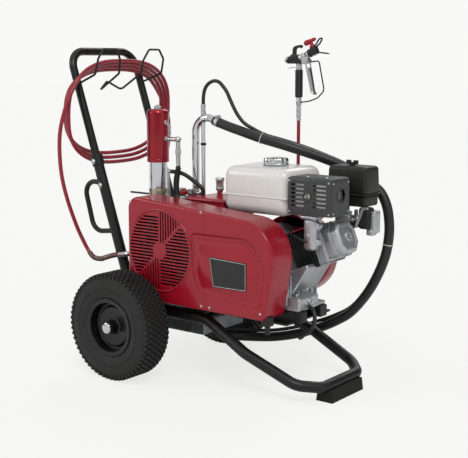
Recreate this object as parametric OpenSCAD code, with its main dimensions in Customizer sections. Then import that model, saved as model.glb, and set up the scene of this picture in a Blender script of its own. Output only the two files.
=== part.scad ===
// Petrol-driven airless paint sprayer on a two-wheeled cart.
// Lengths are millimetres. X points from the push handle towards the front foot,
// Y from the belt guard's side towards the starter's side, and Z is up from the floor.
// Most pieces are drawn from the centre of the axle; placed() moves them into the part's frame.

/* [Wheels] */
// Outside diameter of the tyres
tyre_d = 330; // [276:2:398]
// Width across the tyre walls
tyre_w = 104; // [88:2:124]
// Diameter of the rim where the tyre's bead sits
rim_d = 160; // [136:2:190]
// Distance between the mid planes of the two wheels
wheel_track = 534; // [500:2:640]
// Diameter of the axle
axle_d = 19; // [16:0.1:23]

/* [Frame] */
// Outside diameter of the frame tube
frame_d = 33; // [27:0.5:39.5]
// Distance between the centres of the two side tubes
frame_w = 294; // [270:2:340]
// Lean of the uprights and the push handle from the vertical, in degrees
lean = 18.8; // [15:0.2:22]
// Length of the uprights from the rails to their top ends
upright_len = 484; // [404:2:580]
// Length of the handle's line from the rails to its grip bar
handle_len = 838; // [700:2:1004]
// Outside diameter of the push handle's tube
handle_d = 25.4; // [21.2:0.2:26]
// How far the push handle slides down into the uprights
handle_travel = 55; // [30:5:60]
// Distance from the axle to the front of the rubber foot
front_reach = 655; // [600:1:790]
// Height of the rubber foot
foot_h = 30; // [25:1:36]

/* [Belt drive] */
// Length of the belt guard at its foot
guard_len = 518; // [500:2:600]
// Depth of the belt guard across the machine
guard_depth = 95; // [79:0.1:112]
// Wall of the belt guard
guard_wall = 3; // [2:0.5:4]
// Diameter of the guard's round vent
vent_d = 236; // [200:2:250]
// Pitch diameter of the fan pulley
fan_pulley_d = 210; // [176:2:230]
// Pitch diameter of the engine's pulley
drive_pulley_d = 84; // [70:1:100]
// Width of the drive belt
belt_w = 14; // [12:0.5:16.5]

/* [Engine] */
// Distance from the axle to the crankshaft, along the frame
crank_x = 395; // [380:1:420]
// Height of the crankshaft above the engine's base
crank_h = 120; // [110:1:130]
// Diameter of the crankshaft
crank_d = 25.4; // [21.2:0.2:30]
// Upward tilt of the cylinder, in degrees
cylinder_tilt = 22; // [18:1:26]
// Length, width and height of the fuel tank
tank_size = [233, 195, 138]; // [110:1:280]
// Diameter of the fuel cap
fuel_cap_d = 78; // [64:1:94]

/* [Pump] */
// Outside diameter of the hydraulic motor's steel tube
motor_d = 58; // [48:0.1:70]
// Height of the motor's cap
motor_cap_h = 167; // [140:1:200]
// Stroke of the pump rod
stroke = 60; // [50:1:70]
// Outside diameter of the suction tube
suction_d = 24; // [20:0.5:29]

/* [Hoses] */
// Outside diameter of the paint hose
paint_hose_d = 12.6; // [10.5:0.1:13]
// Outside diameter of the suction hose
siphon_hose_d = 30; // [25:0.5:36]
// Outside diameter of the bleed hose
bleed_hose_d = 11.5; // [9.5:0.1:13]

/* [Hidden] */

// ---- directions and fits
run = 0.3;          // gap between bodies that move past each other
shaft_gap = 0.05;   // radial gap of a shaft in its bore
near = -1;          // the belt guard's side, -Y
far = 1;            // the starter's side, +Y
axle_z = tyre_d / 2;

// ---- frame line: rails, uprights and handle share it
tube_r = frame_d / 2;
handle_r = handle_d / 2;
side_y = frame_w / 2;
axle_tube_r = 16;
rail_z = axle_tube_r + tube_r - 1.5;
upright_foot_x = -44;
upright_start = 70;
handle_insert = 90;
collar_h = 24;
function on_lean(s, y = 0) = [upright_foot_x - s * sin(lean), y, rail_z + s * cos(lean)];
front_tube_x = front_reach - 27.5;
plate_z = rail_z + tube_r - 0.5;
plate_t = 6;
plate_top = plate_z + plate_t;

// ---- engine line
crank_z = 205;
engine_floor = crank_z - crank_h;
case_y0 = -92;
case_y1 = 72;
cylinder_y = 20;
head_end = 262;
cover_half = 46;
engine_front = crank_x + (head_end - 4) * cos(cylinder_tilt) + cover_half * sin(cylinder_tilt);

// ---- the part's origin is midway between its ends, on the floor
handle_back = on_lean(handle_len)[0] - handle_r;
axle_x = -(max(front_reach, engine_front) + handle_back) / 2;

// ---- guard line
guard_rear = -21;
guard_face = -200;
guard_back = guard_face + guard_depth;
guard_foot = 71;
guard_rear_top = 390;
guard_seam = 285;
backplate_t = 3;
fan_x = 108;
fan_z = 232;
belt_y = guard_face + 50;

// ---- pump line
motor_x = -44;
motor_y = -30;
motor_r = motor_d / 2;
collar_z = 358;
cap_z = 478;
cap_r = 35;
manifold_x = 57;
manifold_y = -10;
outlet_z = 195;
suction_x = 54;
tube_y = 40;
bleed_x = 85;
reservoir_top = 381;

// ---------------------------------------------------------------- helpers
module placed() { translate([axle_x, 0, axle_z]) children(); }
function unit(v) = v / norm(v);
function sgn(v) = v < 0 ? -1 : 1;

// A round rod from one point to another
module rod(a, b, r, fn = 40) {
  d = b - a;
  h = norm(d);
  translate(a) rotate([0, acos(d[2] / h), atan2(d[1], d[0])]) cylinder(r = r, h = h, $fn = fn);
}

// A round bar across the machine at (x, z), from y0 to y1
module cross_bar(x, z, y0, y1, r, fn = 64) {
  translate([x, y0, z]) rotate([-90, 0, 0]) cylinder(r = r, h = y1 - y0, $fn = fn);
}

// A box between two corners
module block(a, b) { translate(a) cube(b - a); }

// An outline in X and Z carried across the machine from y0 to y1
module side_plate(outline, y0, y1) {
  translate([0, y1, 0]) rotate([90, 0, 0]) linear_extrude(y1 - y0) polygon(outline);
}

// Points of one rounded corner at b, between a and c, in any plane
function corner(a, b, c, r, n) =
  let (u = unit(b - a), w = unit(c - b), turn = acos(u * w), k = unit(w - u))
  let (centre = b + k * r / cos(turn / 2))
  [for (i = [0:n]) let (q = (i / n - 0.5) * turn)
    centre - k * r * cos(q) + unit(u + w) * r * sin(q)];

// An open route with rounded corners
function route(p, r, n = 5) = [p[0],
  for (i = [1:len(p) - 2]) each corner(p[i - 1], p[i], p[i + 1], r[i - 1], n),
  p[len(p) - 1]];

// A closed outline with rounded corners
function rounded(p, r, n = 6) = let (m = len(p))
  [for (i = [0:m - 1]) each corner(p[(i + m - 1) % m], p[i], p[(i + 1) % m], r[i], n)];

// A rectangle's outline with round corners
function round_rect(w, h, r) =
  rounded([[-w / 2, -h / 2], [w / 2, -h / 2], [w / 2, h / 2], [-w / 2, h / 2]], [r, r, r, r], 4);

// A closed clockwise outline moved inwards by t
function inset(p, t) = let (m = len(p)) [for (i = [0:m - 1])
  let (u = unit(p[i] - p[(i + m - 1) % m]), w = unit(p[(i + 1) % m] - p[i]))
  let (a = [u[1], -u[0]], b = [w[1], -w[0]])
  p[i] + (a + b) * t / (1 + a * b)];

// A box with all its upright and long edges rounded
module soft_block(size, r) {
  intersection() {
    translate([0, 0, -size[2] / 2]) linear_extrude(size[2]) polygon(round_rect(size[0], size[1], r));
    translate([0, size[1] / 2, 0]) rotate([90, 0, 0])
      linear_extrude(size[1]) polygon(round_rect(size[0], size[2], r * 0.7));
  }
}

// A tube swept along a route: each ring is carried over from the last without twist
function tangents(p) = let (m = len(p) - 1)
  [for (i = [0:m]) unit(p[min(i + 1, m)] - p[max(i - 1, 0)])];
function carried(t) = [for (i = 0, n = unit(cross(t[0], abs(t[0][2]) < 0.8 ? [0, 0, 1] : [0, 1, 0]));
  i < len(t);
  i = i + 1, n = i < len(t) ? unit(n - t[i] * (n * t[i])) : n) n];
module swept(p, r, sides = 10) {
  t = tangents(p);
  n = carried(t);
  last = len(p) - 1;
  pts = [for (i = [0:last]) for (j = [0:sides - 1]) let (a = 360 * j / sides)
    p[i] + r * (cos(a) * n[i] + sin(a) * cross(t[i], n[i]))];
  walls = [for (i = [0:last - 1]) for (j = [0:sides - 1]) let (k = (j + 1) % sides)
    each [[i * sides + j, (i + 1) * sides + j, i * sides + k],
      [i * sides + k, (i + 1) * sides + j, (i + 1) * sides + k]]];
  start = [for (j = [1:sides - 2]) [0, j, j + 1]];
  end = [for (j = [1:sides - 2]) [last * sides, last * sides + j + 1, last * sides + j]];
  polyhedron(points = pts, faces = concat(walls, start, end), convexity = 6);
}

// Soft curve through hand-chosen points (Catmull-Rom), n steps between neighbours
function flow(p, n) = let (m = len(p) - 1) [for (i = [0:m - 1]) for (k = [0:n - 1])
  let (a = p[max(i - 1, 0)], b = p[i], c = p[i + 1], d = p[min(i + 2, m)], t = k / n)
  b + 0.5 * t * ((c - a) + t * ((2 * a - 5 * b + 4 * c - d) + t * (3 * (b - c) + d - a))), p[m]];

// ---------------------------------------------------------------- cart
function frame_side(s) = [
  on_lean(upright_start, s * side_y),
  [upright_foot_x, s * side_y, rail_z],
  [250, s * side_y, rail_z],
  [411, s * (side_y + 27), 126 - axle_z],
  [575, s * (side_y + 5), foot_h + 25 - axle_z],
  [front_tube_x, s * 95, foot_h + tube_r - 2 - axle_z],
  ];
module frame_tube() color("#2b2b2d") placed()
  swept(route(concat(frame_side(near), [for (i = [5:-1:0]) frame_side(far)[i]]),
    [58, 90, 90, 60, 45, 45, 60, 90, 90, 58], 5), tube_r, 12);

module upright_tubes() color("#2b2b2d") placed() for (y = [-side_y, side_y]) difference() {
  union() {
    rod(on_lean(upright_start, y), on_lean(upright_len, y), tube_r);
    rod(on_lean(upright_len - collar_h, y), on_lean(upright_len + collar_h / 3, y), tube_r + 3);
  }
  rod(on_lean(upright_len - handle_insert - handle_travel - 15, y), on_lean(upright_len + 40, y),
    handle_r + run);
}

// One lift handle, on the belt guard's side
lift_r = 8;
module lift_handle() color("#2b2b2d") placed() {
  y = -side_y;
  wall = [-(tube_r + 0.7), 0, 0];
  top = on_lean(402, y);
  foot = on_lean(243, y);
  p = [top + wall, top + [-60, 0, 0], top + [-88, 0, -37], top + [-63, 0, -110],
    foot + [-89, 0, 1], foot + [-50, 0, -10], foot + wall];
  swept(route(p, [24, 24, 90, 26, 26], 4), lift_r, 10);
}

// Cross bars, axle tube, the deck between the rails and the engine's raised bed
bar_r = 11;
deck_x0 = -8;
deck_x1 = 520;
bed_x0 = 285;
bed_x1 = 548;
bed_w = 34;
module base_frame() color("#2b2b2d") placed() {
  reach = side_y - tube_r + 2.5;
  axle_tube_end = wheel_track / 2 - hub_half - 3;
  difference() {
    cross_bar(0, 0, -axle_tube_end, axle_tube_end, axle_tube_r);
    cross_bar(0, 0, -axle_tube_end - 1, axle_tube_end + 1, axle_d / 2 + 0.1);
  }
  for (p = [on_lean(20), [230, 0, rail_z]]) cross_bar(p[0], p[2], -reach, reach, bar_r);
  difference() {
    union() {
      block([deck_x0, -side_y, plate_z], [240, side_y, plate_top]);
      block([239, -120, plate_z], [deck_x1, 110, plate_top]);
    }
    block([suction_x - 26, tube_y - 24, plate_z - 1], [bleed_x + 12, tube_y + 20, plate_top + 1]);
  }
  for (y = [case_y0 + bed_w / 2, 30])
    block([bed_x0, y - bed_w / 2, plate_top - 1], [bed_x1, y + bed_w / 2, engine_floor]);
}

foot_w = 170;
module foot_pad() color("#1c1c1d") placed() {
  x1 = front_reach;
  top = foot_h - axle_z;
  difference() {
    translate([0, foot_w / 2, 0]) rotate([90, 0, 0]) linear_extrude(foot_w)
      polygon([[x1 - 55, -axle_z], [x1, -axle_z], [x1 - 5, top + 6], [x1 - 50, top + 6]]);
    cross_bar(front_tube_x, foot_h + tube_r - 2 - axle_z, -foot_w, foot_w, tube_r);
  }
}

hub_half = 50;
axle_end = wheel_track / 2 + hub_half + 2;
module axle() color("#d9dadb") placed() {
  cross_bar(0, 0, -axle_end, axle_end, axle_d / 2);
  for (s = [near, far]) intersection() {
    translate([0, s * (axle_end - 9), 0]) sphere(r = 17, $fn = 64);
    cross_bar(0, 0, s > 0 ? axle_end - 1 : -axle_end - 20, s > 0 ? axle_end + 20 : -axle_end + 1, 17);
  }
}

bearing_r = 16;
bearing_w = 11;
module wheel_bearings() color("#a9abad") placed()
  for (s = [near, far]) for (e = [-1, 1]) {
    y = s * wheel_track / 2 + e * (hub_half - bearing_w / 2 - 1);
    difference() {
      cross_bar(0, 0, y - bearing_w / 2, y + bearing_w / 2, bearing_r - shaft_gap);
      cross_bar(0, 0, y - bearing_w, y + bearing_w, axle_d / 2 + 0.02);
    }
  }

// A wheel's own frame: its axis is Z and its outer face looks along +Z
module wheel_place(s) placed() translate([0, s * wheel_track / 2, 0]) rotate([-90 * s, 0, 0]) children();

// The tyre's section: tread, round shoulders, walls and beads, with its air space
module tyre(s) wheel_place(s) {
  r = tyre_d / 2;
  w = tyre_w / 2;
  b = rim_d / 2 + 0.1;
  wall = 9;
  rotate_extrude($fn = 96) polygon([
    for (p = rounded([[b, -w * 0.66], [b, -w * 0.83], [b + 10, -w * 0.84], [b + 34, -w],
      [r - 14, -w * 0.94], [r, -w * 0.62], [r, w * 0.62], [r - 14, w * 0.94], [b + 34, w],
      [b + 10, w * 0.84], [b, w * 0.83], [b, w * 0.66], [b + 30, w - wall], [r - 18, w - wall - 4],
      [r - wall - 3, w * 0.5], [r - wall - 3, -w * 0.5], [r - 18, -w + wall + 4], [b + 30, -w + wall]],
      [1, 1, 3, 18, 10, 7, 7, 10, 18, 3, 1, 1, 12, 8, 6, 6, 8, 12], 3)) p]);
}
module tyre_right() color("#242425") tyre(near);
module tyre_left() color("#242425") tyre(far);

// The rim: a drum with two lips, a dished web and a long hub
module rim(s) wheel_place(s) {
  b = rim_d / 2;
  w = tyre_w / 2;
  difference() {
    rotate_extrude($fn = 96) polygon([
      [bearing_r + 4, -hub_half], [bearing_r + 4, 2], [58, 12], [62, 4], [b - 6, 2], [b - 6, -w * 0.9],
      [b + 9, -w * 0.93], [b + 9, -w * 0.86], [b, -w * 0.84], [b, w * 0.84], [b + 9, w * 0.86],
      [b + 9, w * 0.93], [b - 5, w * 0.9], [b - 6, w * 0.3], [64, w * 0.24], [60, w * 0.48],
      [bearing_r + 9, w * 0.4], [bearing_r + 4, w * 0.5], [bearing_r + 4, hub_half],
      [bearing_r, hub_half], [bearing_r, -hub_half]]);
    translate([0, 0, -hub_half - 1]) cylinder(r = bearing_r, h = bearing_w + 2, $fn = 64);
    translate([0, 0, hub_half - bearing_w - 1]) cylinder(r = bearing_r, h = bearing_w + 2, $fn = 64);
  }
}
module rim_right() color("#3a3b3d") rim(near);
module rim_left() color("#3a3b3d") rim(far);

// ---------------------------------------------------------------- push handle
bow_start = handle_len - 60;
module handle_legs() color("#333335") placed() for (y = [-side_y, side_y]) difference() {
  rod(on_lean(upright_len - handle_insert, y), on_lean(bow_start, y), handle_r);
  rod(on_lean(upright_len - handle_insert - 1, y), on_lean(bow_start - 20, y), handle_r - 2.5);
}
module handle_bow() color("#333335") placed()
  swept(route([on_lean(bow_start, -side_y), on_lean(handle_len, -side_y),
    on_lean(handle_len, side_y), on_lean(bow_start, side_y)], [36, 36], 6), handle_r, 12);

// Bent wire rack: a raised loop on each side and a dip between them
rack_s = 731;
rack_wire = 3.5;
function rack_side(s) = [for (p = [[6, 0, 0], [88, 8, 30], [100, 6, 78], [101, -16, 108],
  [107, -72, 108], [100, -93, 73], [92, -95, 32], [2, -98, -23]])
  on_lean(rack_s) + [p[0], s * (side_y + p[1]), p[2]]];
module hose_rack() color("#2b2b2d") placed()
  swept(route(concat(rack_side(near), [on_lean(rack_s) + [-14, 0, 5]],
    [for (i = [7:-1:0]) rack_side(far)[i]]),
    [14, 14, 12, 12, 14, 14, 12, 12, 12, 14, 14, 12, 12, 14, 14], 3), rack_wire, 8);

// ---------------------------------------------------------------- belt guard and drive
guard_nose_r = 112;
guard_outline = [[guard_rear, guard_foot], [guard_rear, guard_rear_top],
  [guard_rear + guard_len + 48, guard_rear_top - 45], [guard_rear + guard_len, guard_foot]];
guard_radii = [12, 38, guard_nose_r, 18];
module guard_prism(t, y0, y1)
  side_plate(rounded(inset(guard_outline, t), [for (r = guard_radii) max(r - t, 2)], 10), y0, y1);
module guard_shell() difference() {
  guard_prism(0, guard_face, guard_back);
  guard_prism(guard_wall, guard_face + guard_wall, guard_back + 1);
}

// Half of the pinwheel of slots: level slots on one side and upright ones below them
vent_pitch = 10;
vent_slot = 5.5;
vent_boss = 26;
module vent_half() {
  rows = floor(vent_d / 2 / vent_pitch) - 1;
  for (k = [-rows:rows]) {
    z = k * vent_pitch;
    start = -sqrt(pow(vent_d / 2, 2) - z * z);
    boss = abs(z) < vent_boss ? -sqrt(vent_boss * vent_boss - z * z) : -3;
    stop = min(boss, z < 0 ? z - 4 : -3);
    if (stop - start > 6) translate([start, guard_face - 1, z - vent_slot / 2])
      cube([stop - start, guard_wall + 2, vent_slot]);
  }
  for (k = [1:rows]) {
    x = -k * vent_pitch + 4;
    start = -sqrt(pow(vent_d / 2, 2) - x * x);
    boss = abs(x) < vent_boss ? -sqrt(vent_boss * vent_boss - x * x) : 0;
    stop = min(boss, x - 8);
    if (stop - start > 6) translate([x - vent_slot / 2, guard_face - 1, start])
      cube([vent_slot, guard_wall + 2, stop - start]);
  }
}
module fan_guard() color("#8e1b2a") placed() difference() {
  guard_shell();
  block([guard_seam, guard_face - 1, 0], [guard_rear + guard_len + 60, guard_back + 2, 420]);
  translate([fan_x, 0, fan_z]) {
    vent_half();
    rotate([0, 180, 0]) vent_half();
  }
}
module belt_guard() color("#8e1b2a") placed() difference() {
  guard_shell();
  block([guard_rear - 1, guard_face - 1, 0], [guard_seam, guard_back + 2, 420]);
}

pump_bore = 12;
module guard_backplate() color("#8e1b2a") placed() difference() {
  guard_prism(0.5, guard_back, guard_back + backplate_t);
  cross_bar(fan_x, fan_z, guard_back - 1, guard_back + 9, pump_bore + 4);
  cross_bar(crank_x, crank_z, guard_back - 1, guard_back + 9, crank_d / 2 + 6);
}

badge_t = 1.5;
module badge_plate() color("#2c2c2e") placed()
  side_plate(rounded([[315, 148], [301, 235], [435, 231], [435, 150]], [3, 3, 3, 3], 2),
    guard_face - badge_t, guard_face);

// Outline of a belt around both pulleys, e outside their pitch circles
function belt_outline(e, k) = let (d = [crank_x - fan_x, crank_z - fan_z])
  let (a = fan_pulley_d / 2, b = drive_pulley_d / 2, th = atan2(d[1], d[0]))
  let (beta = acos((a - b) / norm(d)), na = 40, nb = 24)
  let (sa = (360 - 2 * beta) / na, sb = 2 * beta / nb)
  concat(
    [for (i = [0:na]) let (q = th + beta + i * sa, r = (a + e) / (k ? cos(sa / 2) : 1))
      [fan_x + r * cos(q), fan_z + r * sin(q)]],
    [for (i = [0:nb]) let (q = th - beta + i * sb, r = (b + e) / (k ? cos(sb / 2) : 1))
      [crank_x + r * cos(q), crank_z + r * sin(q)]]);
belt_seat = 8;
module drive_belt() color("#1d1d1e") placed() difference() {
  side_plate(belt_outline(2, false), belt_y - belt_w / 2, belt_y + belt_w / 2);
  side_plate(belt_outline(run - belt_seat, true), belt_y - belt_w, belt_y + belt_w);
}

// A grooved pulley about Y: rim, web and hub, with a bore
module pulley(pitch_d, bore_r, hub_r) {
  r = pitch_d / 2;
  g = belt_w / 2 + run;
  rotate([-90, 0, 0]) rotate_extrude($fn = 96) polygon([
    [bore_r, -18], [hub_r, -18], [hub_r, -3], [max(r - belt_seat - 8, hub_r + 1), -3],
    [max(r - belt_seat - 8, hub_r + 1), -g - 4], [r + 3, -g - 4], [r + 3, -g], [r - belt_seat, -g],
    [r - belt_seat, g], [r + 3, g], [r + 3, g + 4], [max(r - belt_seat - 8, hub_r + 1), g + 4],
    [max(r - belt_seat - 8, hub_r + 1), 3], [hub_r, 3], [hub_r, 12], [bore_r, 12]]);
}
fan_blades = 9;
module fan_pulley() color("#3c3c3f") placed() translate([fan_x, belt_y, fan_z]) {
  pulley(fan_pulley_d, pump_bore, 24);
  cross_bar(0, 0, -18, reservoir_y0 - 8 - belt_y, pump_bore);
  for (i = [0:fan_blades - 1]) rotate([0, i * 360 / fan_blades, 0])
    translate([23, -34, -1.5]) cube([fan_pulley_d / 2 - belt_seat - 30, 32, 3]);
}
module drive_pulley() color("#3c3c3f") placed() translate([crank_x, belt_y, crank_z])
  pulley(drive_pulley_d, crank_d / 2 + 0.02, crank_d / 2 + 7);

// ---------------------------------------------------------------- hydraulics
reservoir_y0 = -62;
reservoir_x1 = 244;
module reservoir() color("#8e1b2a") placed() {
  difference() {
    union() {
      block([97, reservoir_y0, plate_top], [reservoir_x1, 20, reservoir_top]);
      block([112, 19, plate_top], [reservoir_x1, 96, reservoir_top]);
    }
    block([100, reservoir_y0 + 3, plate_top + 3], [reservoir_x1 - 3, 17, reservoir_top - 3]);
    block([115, 16, plate_top + 3], [reservoir_x1 - 3, 93, reservoir_top - 3]);
  }
  translate([neck_x, 0, reservoir_top - 1]) cylinder(r = neck_r, h = neck_h + 1, $fn = 48);
}
neck_x = 183;
neck_r = 9;
neck_h = 20;
module filler_cap() color("#c9cacb") placed() translate([neck_x, 0, reservoir_top + neck_h + 0.1]) {
  cylinder(r = 12.5, h = 32, $fn = 48);
  translate([0, 0, 31]) cylinder(r = 14, h = 7, $fn = 48);
}

// Finned cooler slung under the deck, with a plain end cap
cooler_x0 = 22;
cooler_x1 = 196;
fin_pitch = 8;
module oil_cooler() color("#8b8d8f") placed() {
  block([cooler_x0, -92, -20], [cooler_x1, 92, plate_z]);
  for (x = [cooler_x0 + 4:fin_pitch:142]) block([x, -100, -37], [x + 4, 100, 2]);
  block([146, -100, -36], [cooler_x1, 100, 2]);
}

module hydraulic_pump() color("#54565a") placed() difference() {
  union() {
    translate([fan_x, guard_back + backplate_t + 4, fan_z]) cube([74, 8, 74], center = true);
    cross_bar(fan_x, fan_z, guard_back + backplate_t + 7, reservoir_y0, 33);
    rod([fan_x - 20, -82, fan_z], [fan_x - 56, -82, fan_z], 13);
    rod([fan_x, -82, fan_z + 20], [fan_x, -82, fan_z + 52], 10);
  }
  cross_bar(fan_x, fan_z, guard_back, reservoir_y0 - 6, pump_bore + shaft_gap);
}
module pressure_knob() color("#1d1d1e") placed()
  rod([fan_x - 56 - run, -82, fan_z], [fan_x - 78, -82, fan_z], 17);

// The red cap over the motor's valve, hollow over the tube, with its top plug
cap_bore_h = 120;
module motor_cap() color("#8e1b2a") placed() translate([motor_x, motor_y, cap_z]) {
  difference() {
    rotate_extrude($fn = 96) polygon(concat([[0, 0], [cap_r, 0]],
      [for (a = [0:15:90]) [cap_r - 14 + 14 * cos(a), motor_cap_h - 14 + 14 * sin(a)]],
      [[0, motor_cap_h]]));
    translate([0, 0, -1]) cylinder(r = motor_r + 0.1, h = cap_bore_h + 1, $fn = 96);
  }
  rod([cap_r - 3, 0, port_z - cap_z], [cap_r + 3, 0, port_z - cap_z], 10);
  translate([0, 0, motor_cap_h - 1]) cylinder(r = 11, h = 9, $fn = 48);
  translate([0, 0, motor_cap_h + 8]) cylinder(r = 7, h = 5, $fn = 6);
}
module motor_tube() color("#c3c5c7") placed() translate([motor_x, motor_y, 0]) {
  difference() {
    union() {
      translate([0, 0, collar_z + 34])
        cylinder(r = motor_r, h = cap_z + cap_bore_h - collar_z - 34, $fn = 96);
      translate([0, 0, collar_z]) cylinder(r = motor_r + 1.5, h = 35, $fn = 96);
    }
    translate([0, 0, collar_z + 20]) cylinder(r = motor_r - 5, h = 300, $fn = 96);
    translate([0, 0, collar_z - 1]) cylinder(r = rod_r + shaft_gap, h = 40, $fn = 64);
  }
  rod([-motor_r, 0, 14 + collar_z], [-motor_r - 95, 0, 14 + collar_z], 3);
}

// Piston and displacement rod, one moving piece
rod_r = 11;
piston_h = 22;
pump_z0 = 66;
rod_foot = pump_z0 + stroke - 6;
module pump_rod() color("#d0d1d3") placed() translate([motor_x, motor_y, 0]) {
  translate([0, 0, rod_foot]) cylinder(r = rod_r, h = collar_z + 25 - rod_foot, $fn = 64);
  translate([0, 0, collar_z + 21]) cylinder(r = motor_r - 5 - shaft_gap, h = piston_h, $fn = 96);
}

// Paint pump: cylinder, foot valve, outlet, filter column and the bleed valve's block
pump_r = 27;
valve_z = 362;
module fluid_section() color("#b7b9bb") placed() {
  difference() {
    union() {
      translate([motor_x, motor_y, pump_z0]) cylinder(r = pump_r, h = collar_z - pump_z0, $fn = 64);
      translate([motor_x, motor_y, 150]) cylinder(r = pump_r + 4, h = 20, $fn = 6);
      translate([motor_x, motor_y, 320]) cylinder(r = pump_r + 4, h = 22, $fn = 64);
    }
    translate([motor_x, motor_y, rod_foot - 4]) cylinder(r = rod_r + shaft_gap, h = 300, $fn = 64);
  }
  rod([motor_x, motor_y - pump_r + 4, outlet_z], [motor_x, outlet_y, outlet_z], 9);
  rod([motor_x + pump_r - 3, motor_y + 6, 240], [manifold_x - 16, manifold_y - 2, 240], 9);
  translate([manifold_x, manifold_y, plate_top]) cylinder(r = 20, h = valve_z - plate_top, $fn = 64);
  difference() {
    block([manifold_x - 32, manifold_y - 15, valve_z - 1], [manifold_x + 30, manifold_y + 15, valve_z + 36]);
    block([manifold_x - 14, manifold_y - 16, valve_z + 12], [manifold_x + 14, manifold_y + 16, valve_z + 37]);
  }
}
outlet_y = -98;

// Red lever between the two lugs of the bleed valve
module bleed_lever() color("#a11f30") placed() {
  translate([manifold_x, manifold_y, valve_z + 24]) rotate([0, 90, 0])
    cylinder(r = 8, h = 27, center = true, $fn = 48);
  block([manifold_x - 6, manifold_y - 34, valve_z + 20], [manifold_x + 6, manifold_y - 4, valve_z + 27]);
}

// Ports, elbows and nuts beside the motor
fit_x = 40;
port_z = 552;
line_x = motor_x + motor_r + 14;
module motor_fittings() color("#c6c8ca") placed() {
  rod([motor_x + cap_r + 3, motor_y, port_z], [fit_x, motor_y, port_z], 7);
  translate([fit_x, motor_y, port_z]) sphere(r = 10, $fn = 48);
  rod([fit_x, motor_y, port_z], [fit_x, motor_y, 470], 7);
  translate([fit_x, motor_y, 506]) cylinder(r = 10, h = 16, $fn = 6);
  rod([line_x, motor_y, 374], [line_x, motor_y, 458], 4.5);
  rod([line_x, motor_y, 450], [line_x + 12, motor_y, 450], 5.5);
  rod([motor_x + motor_r + 1.6, motor_y, 374], [line_x + 4, motor_y, 374], 4);
}

// Two short oil hoses, held at both ends
pressure_r = 8;
return_r = 6.5;
module hydraulic_hoses() color("#1f1f20") placed() {
  swept(flow([[fit_x, motor_y, 470], [fit_x, motor_y, 452], [fit_x + 14, -46, 412],
    [fit_x + 44, -72, 360], [fan_x, -82, 316], [fan_x, -82, fan_z + 52]], 4), pressure_r, 10);
  swept(flow([[line_x + 12, motor_y, 450], [line_x + 26, motor_y, 450], [line_x + 54, motor_y + 10, 444],
    [line_x + 84, motor_y + 22, 424], [112, 0, 400], [112, 0, reservoir_top]], 4), return_r, 10);
}

// Chrome suction tube with its bent mouth, and the thin bleed tube beside it
suction_top = 652;
bleed_top = 660;
suction_mouth = [129, tube_y, 611];
module suction_tubes() color("#d5d6d8") placed() {
  foot = [motor_x + pump_r - 4, motor_y + 16, 84];
  swept(route([foot, [suction_x, tube_y, 84], [suction_x, tube_y, suction_top], suction_mouth],
    [30, 49], 7), suction_d / 2, 12);
  rod([bleed_x, tube_y, valve_z + 10], [bleed_x, tube_y, bleed_top], 6.5);
  rod([bleed_x, manifold_y + 12, valve_z + 18], [bleed_x, tube_y, valve_z + 18], 6);
  rod([bleed_x, tube_y, 532], [bleed_x, tube_y, 540], 9);
}

// ---------------------------------------------------------------- engine
// The cylinder's own frame: X runs from the crankshaft out to the valve cover
module along_cylinder() translate([crank_x, cylinder_y, crank_z]) rotate([0, -cylinder_tilt, 0]) children();

deck_d = 85;
cavity_r = 58;
module crankcase() color("#a8aaad") placed() {
  c = cos(cylinder_tilt);
  s = sin(cylinder_tilt);
  deck = [crank_x + deck_d * c, crank_z + deck_d * s];
  difference() {
    union() {
      side_plate([[crank_x - 77, engine_floor + 10], [crank_x - 77, crank_z + 55],
        [crank_x - 34, crank_z + 105], [crank_x - 2, crank_z + 105],
        [deck[0] - 60 * s - 20, deck[1] + 60 * c], deck + [-56 * s, 56 * c], deck + [48 * s, -48 * c],
        [crank_x + 105, engine_floor + 50], [crank_x + 105, engine_floor + 10]], case_y0, case_y1);
      block([crank_x - 92, case_y0, engine_floor], [bed_x1 - 6, case_y1 - 24, engine_floor + 12]);
      cross_bar(crank_x, crank_z, case_y0 - 7, case_y0 + 1, 44);
      rod([crank_x + 118, -62, engine_floor + 4], [crank_x + 118, -62, engine_floor + 40], 13);
      rod([crank_x + 118, 14, engine_floor + 4], [crank_x + 118, 14, engine_floor + 30], 11);
    }
    cross_bar(crank_x, crank_z, case_y0 + 12, case_y1 - 12, cavity_r);
    cross_bar(crank_x, crank_z, case_y0 - 20, case_y1 + 20, crank_d / 2 + shaft_gap);
  }
}

// Crankshaft with its webs and the flywheel
flywheel_r = 96;
module crankshaft() color("#7b7d80") placed() {
  cross_bar(crank_x, crank_z, belt_y - 18, 150, crank_d / 2);
  for (y = [cylinder_y - 34, cylinder_y + 16]) cross_bar(crank_x, crank_z, y, y + 16, 46);
  cross_bar(crank_x, crank_z, case_y1 + 12, case_y1 + 44, flywheel_r);
}

fin_n = 8;
fin_gap = 10;
module engine_cylinder() color("#303133") placed() along_cylinder() difference() {
  union() {
    translate([deck_d, 0, 0]) rotate([0, 90, 0]) cylinder(r = 47, h = 80, $fn = 64);
    for (i = [0:fin_n - 1]) translate([deck_d + 3 + i * fin_gap, -51, -58]) cube([3.5, 102, 116]);
  }
  translate([deck_d - 1, 0, 0]) rotate([0, 90, 0]) cylinder(r = 38, h = 82, $fn = 64);
}

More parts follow.
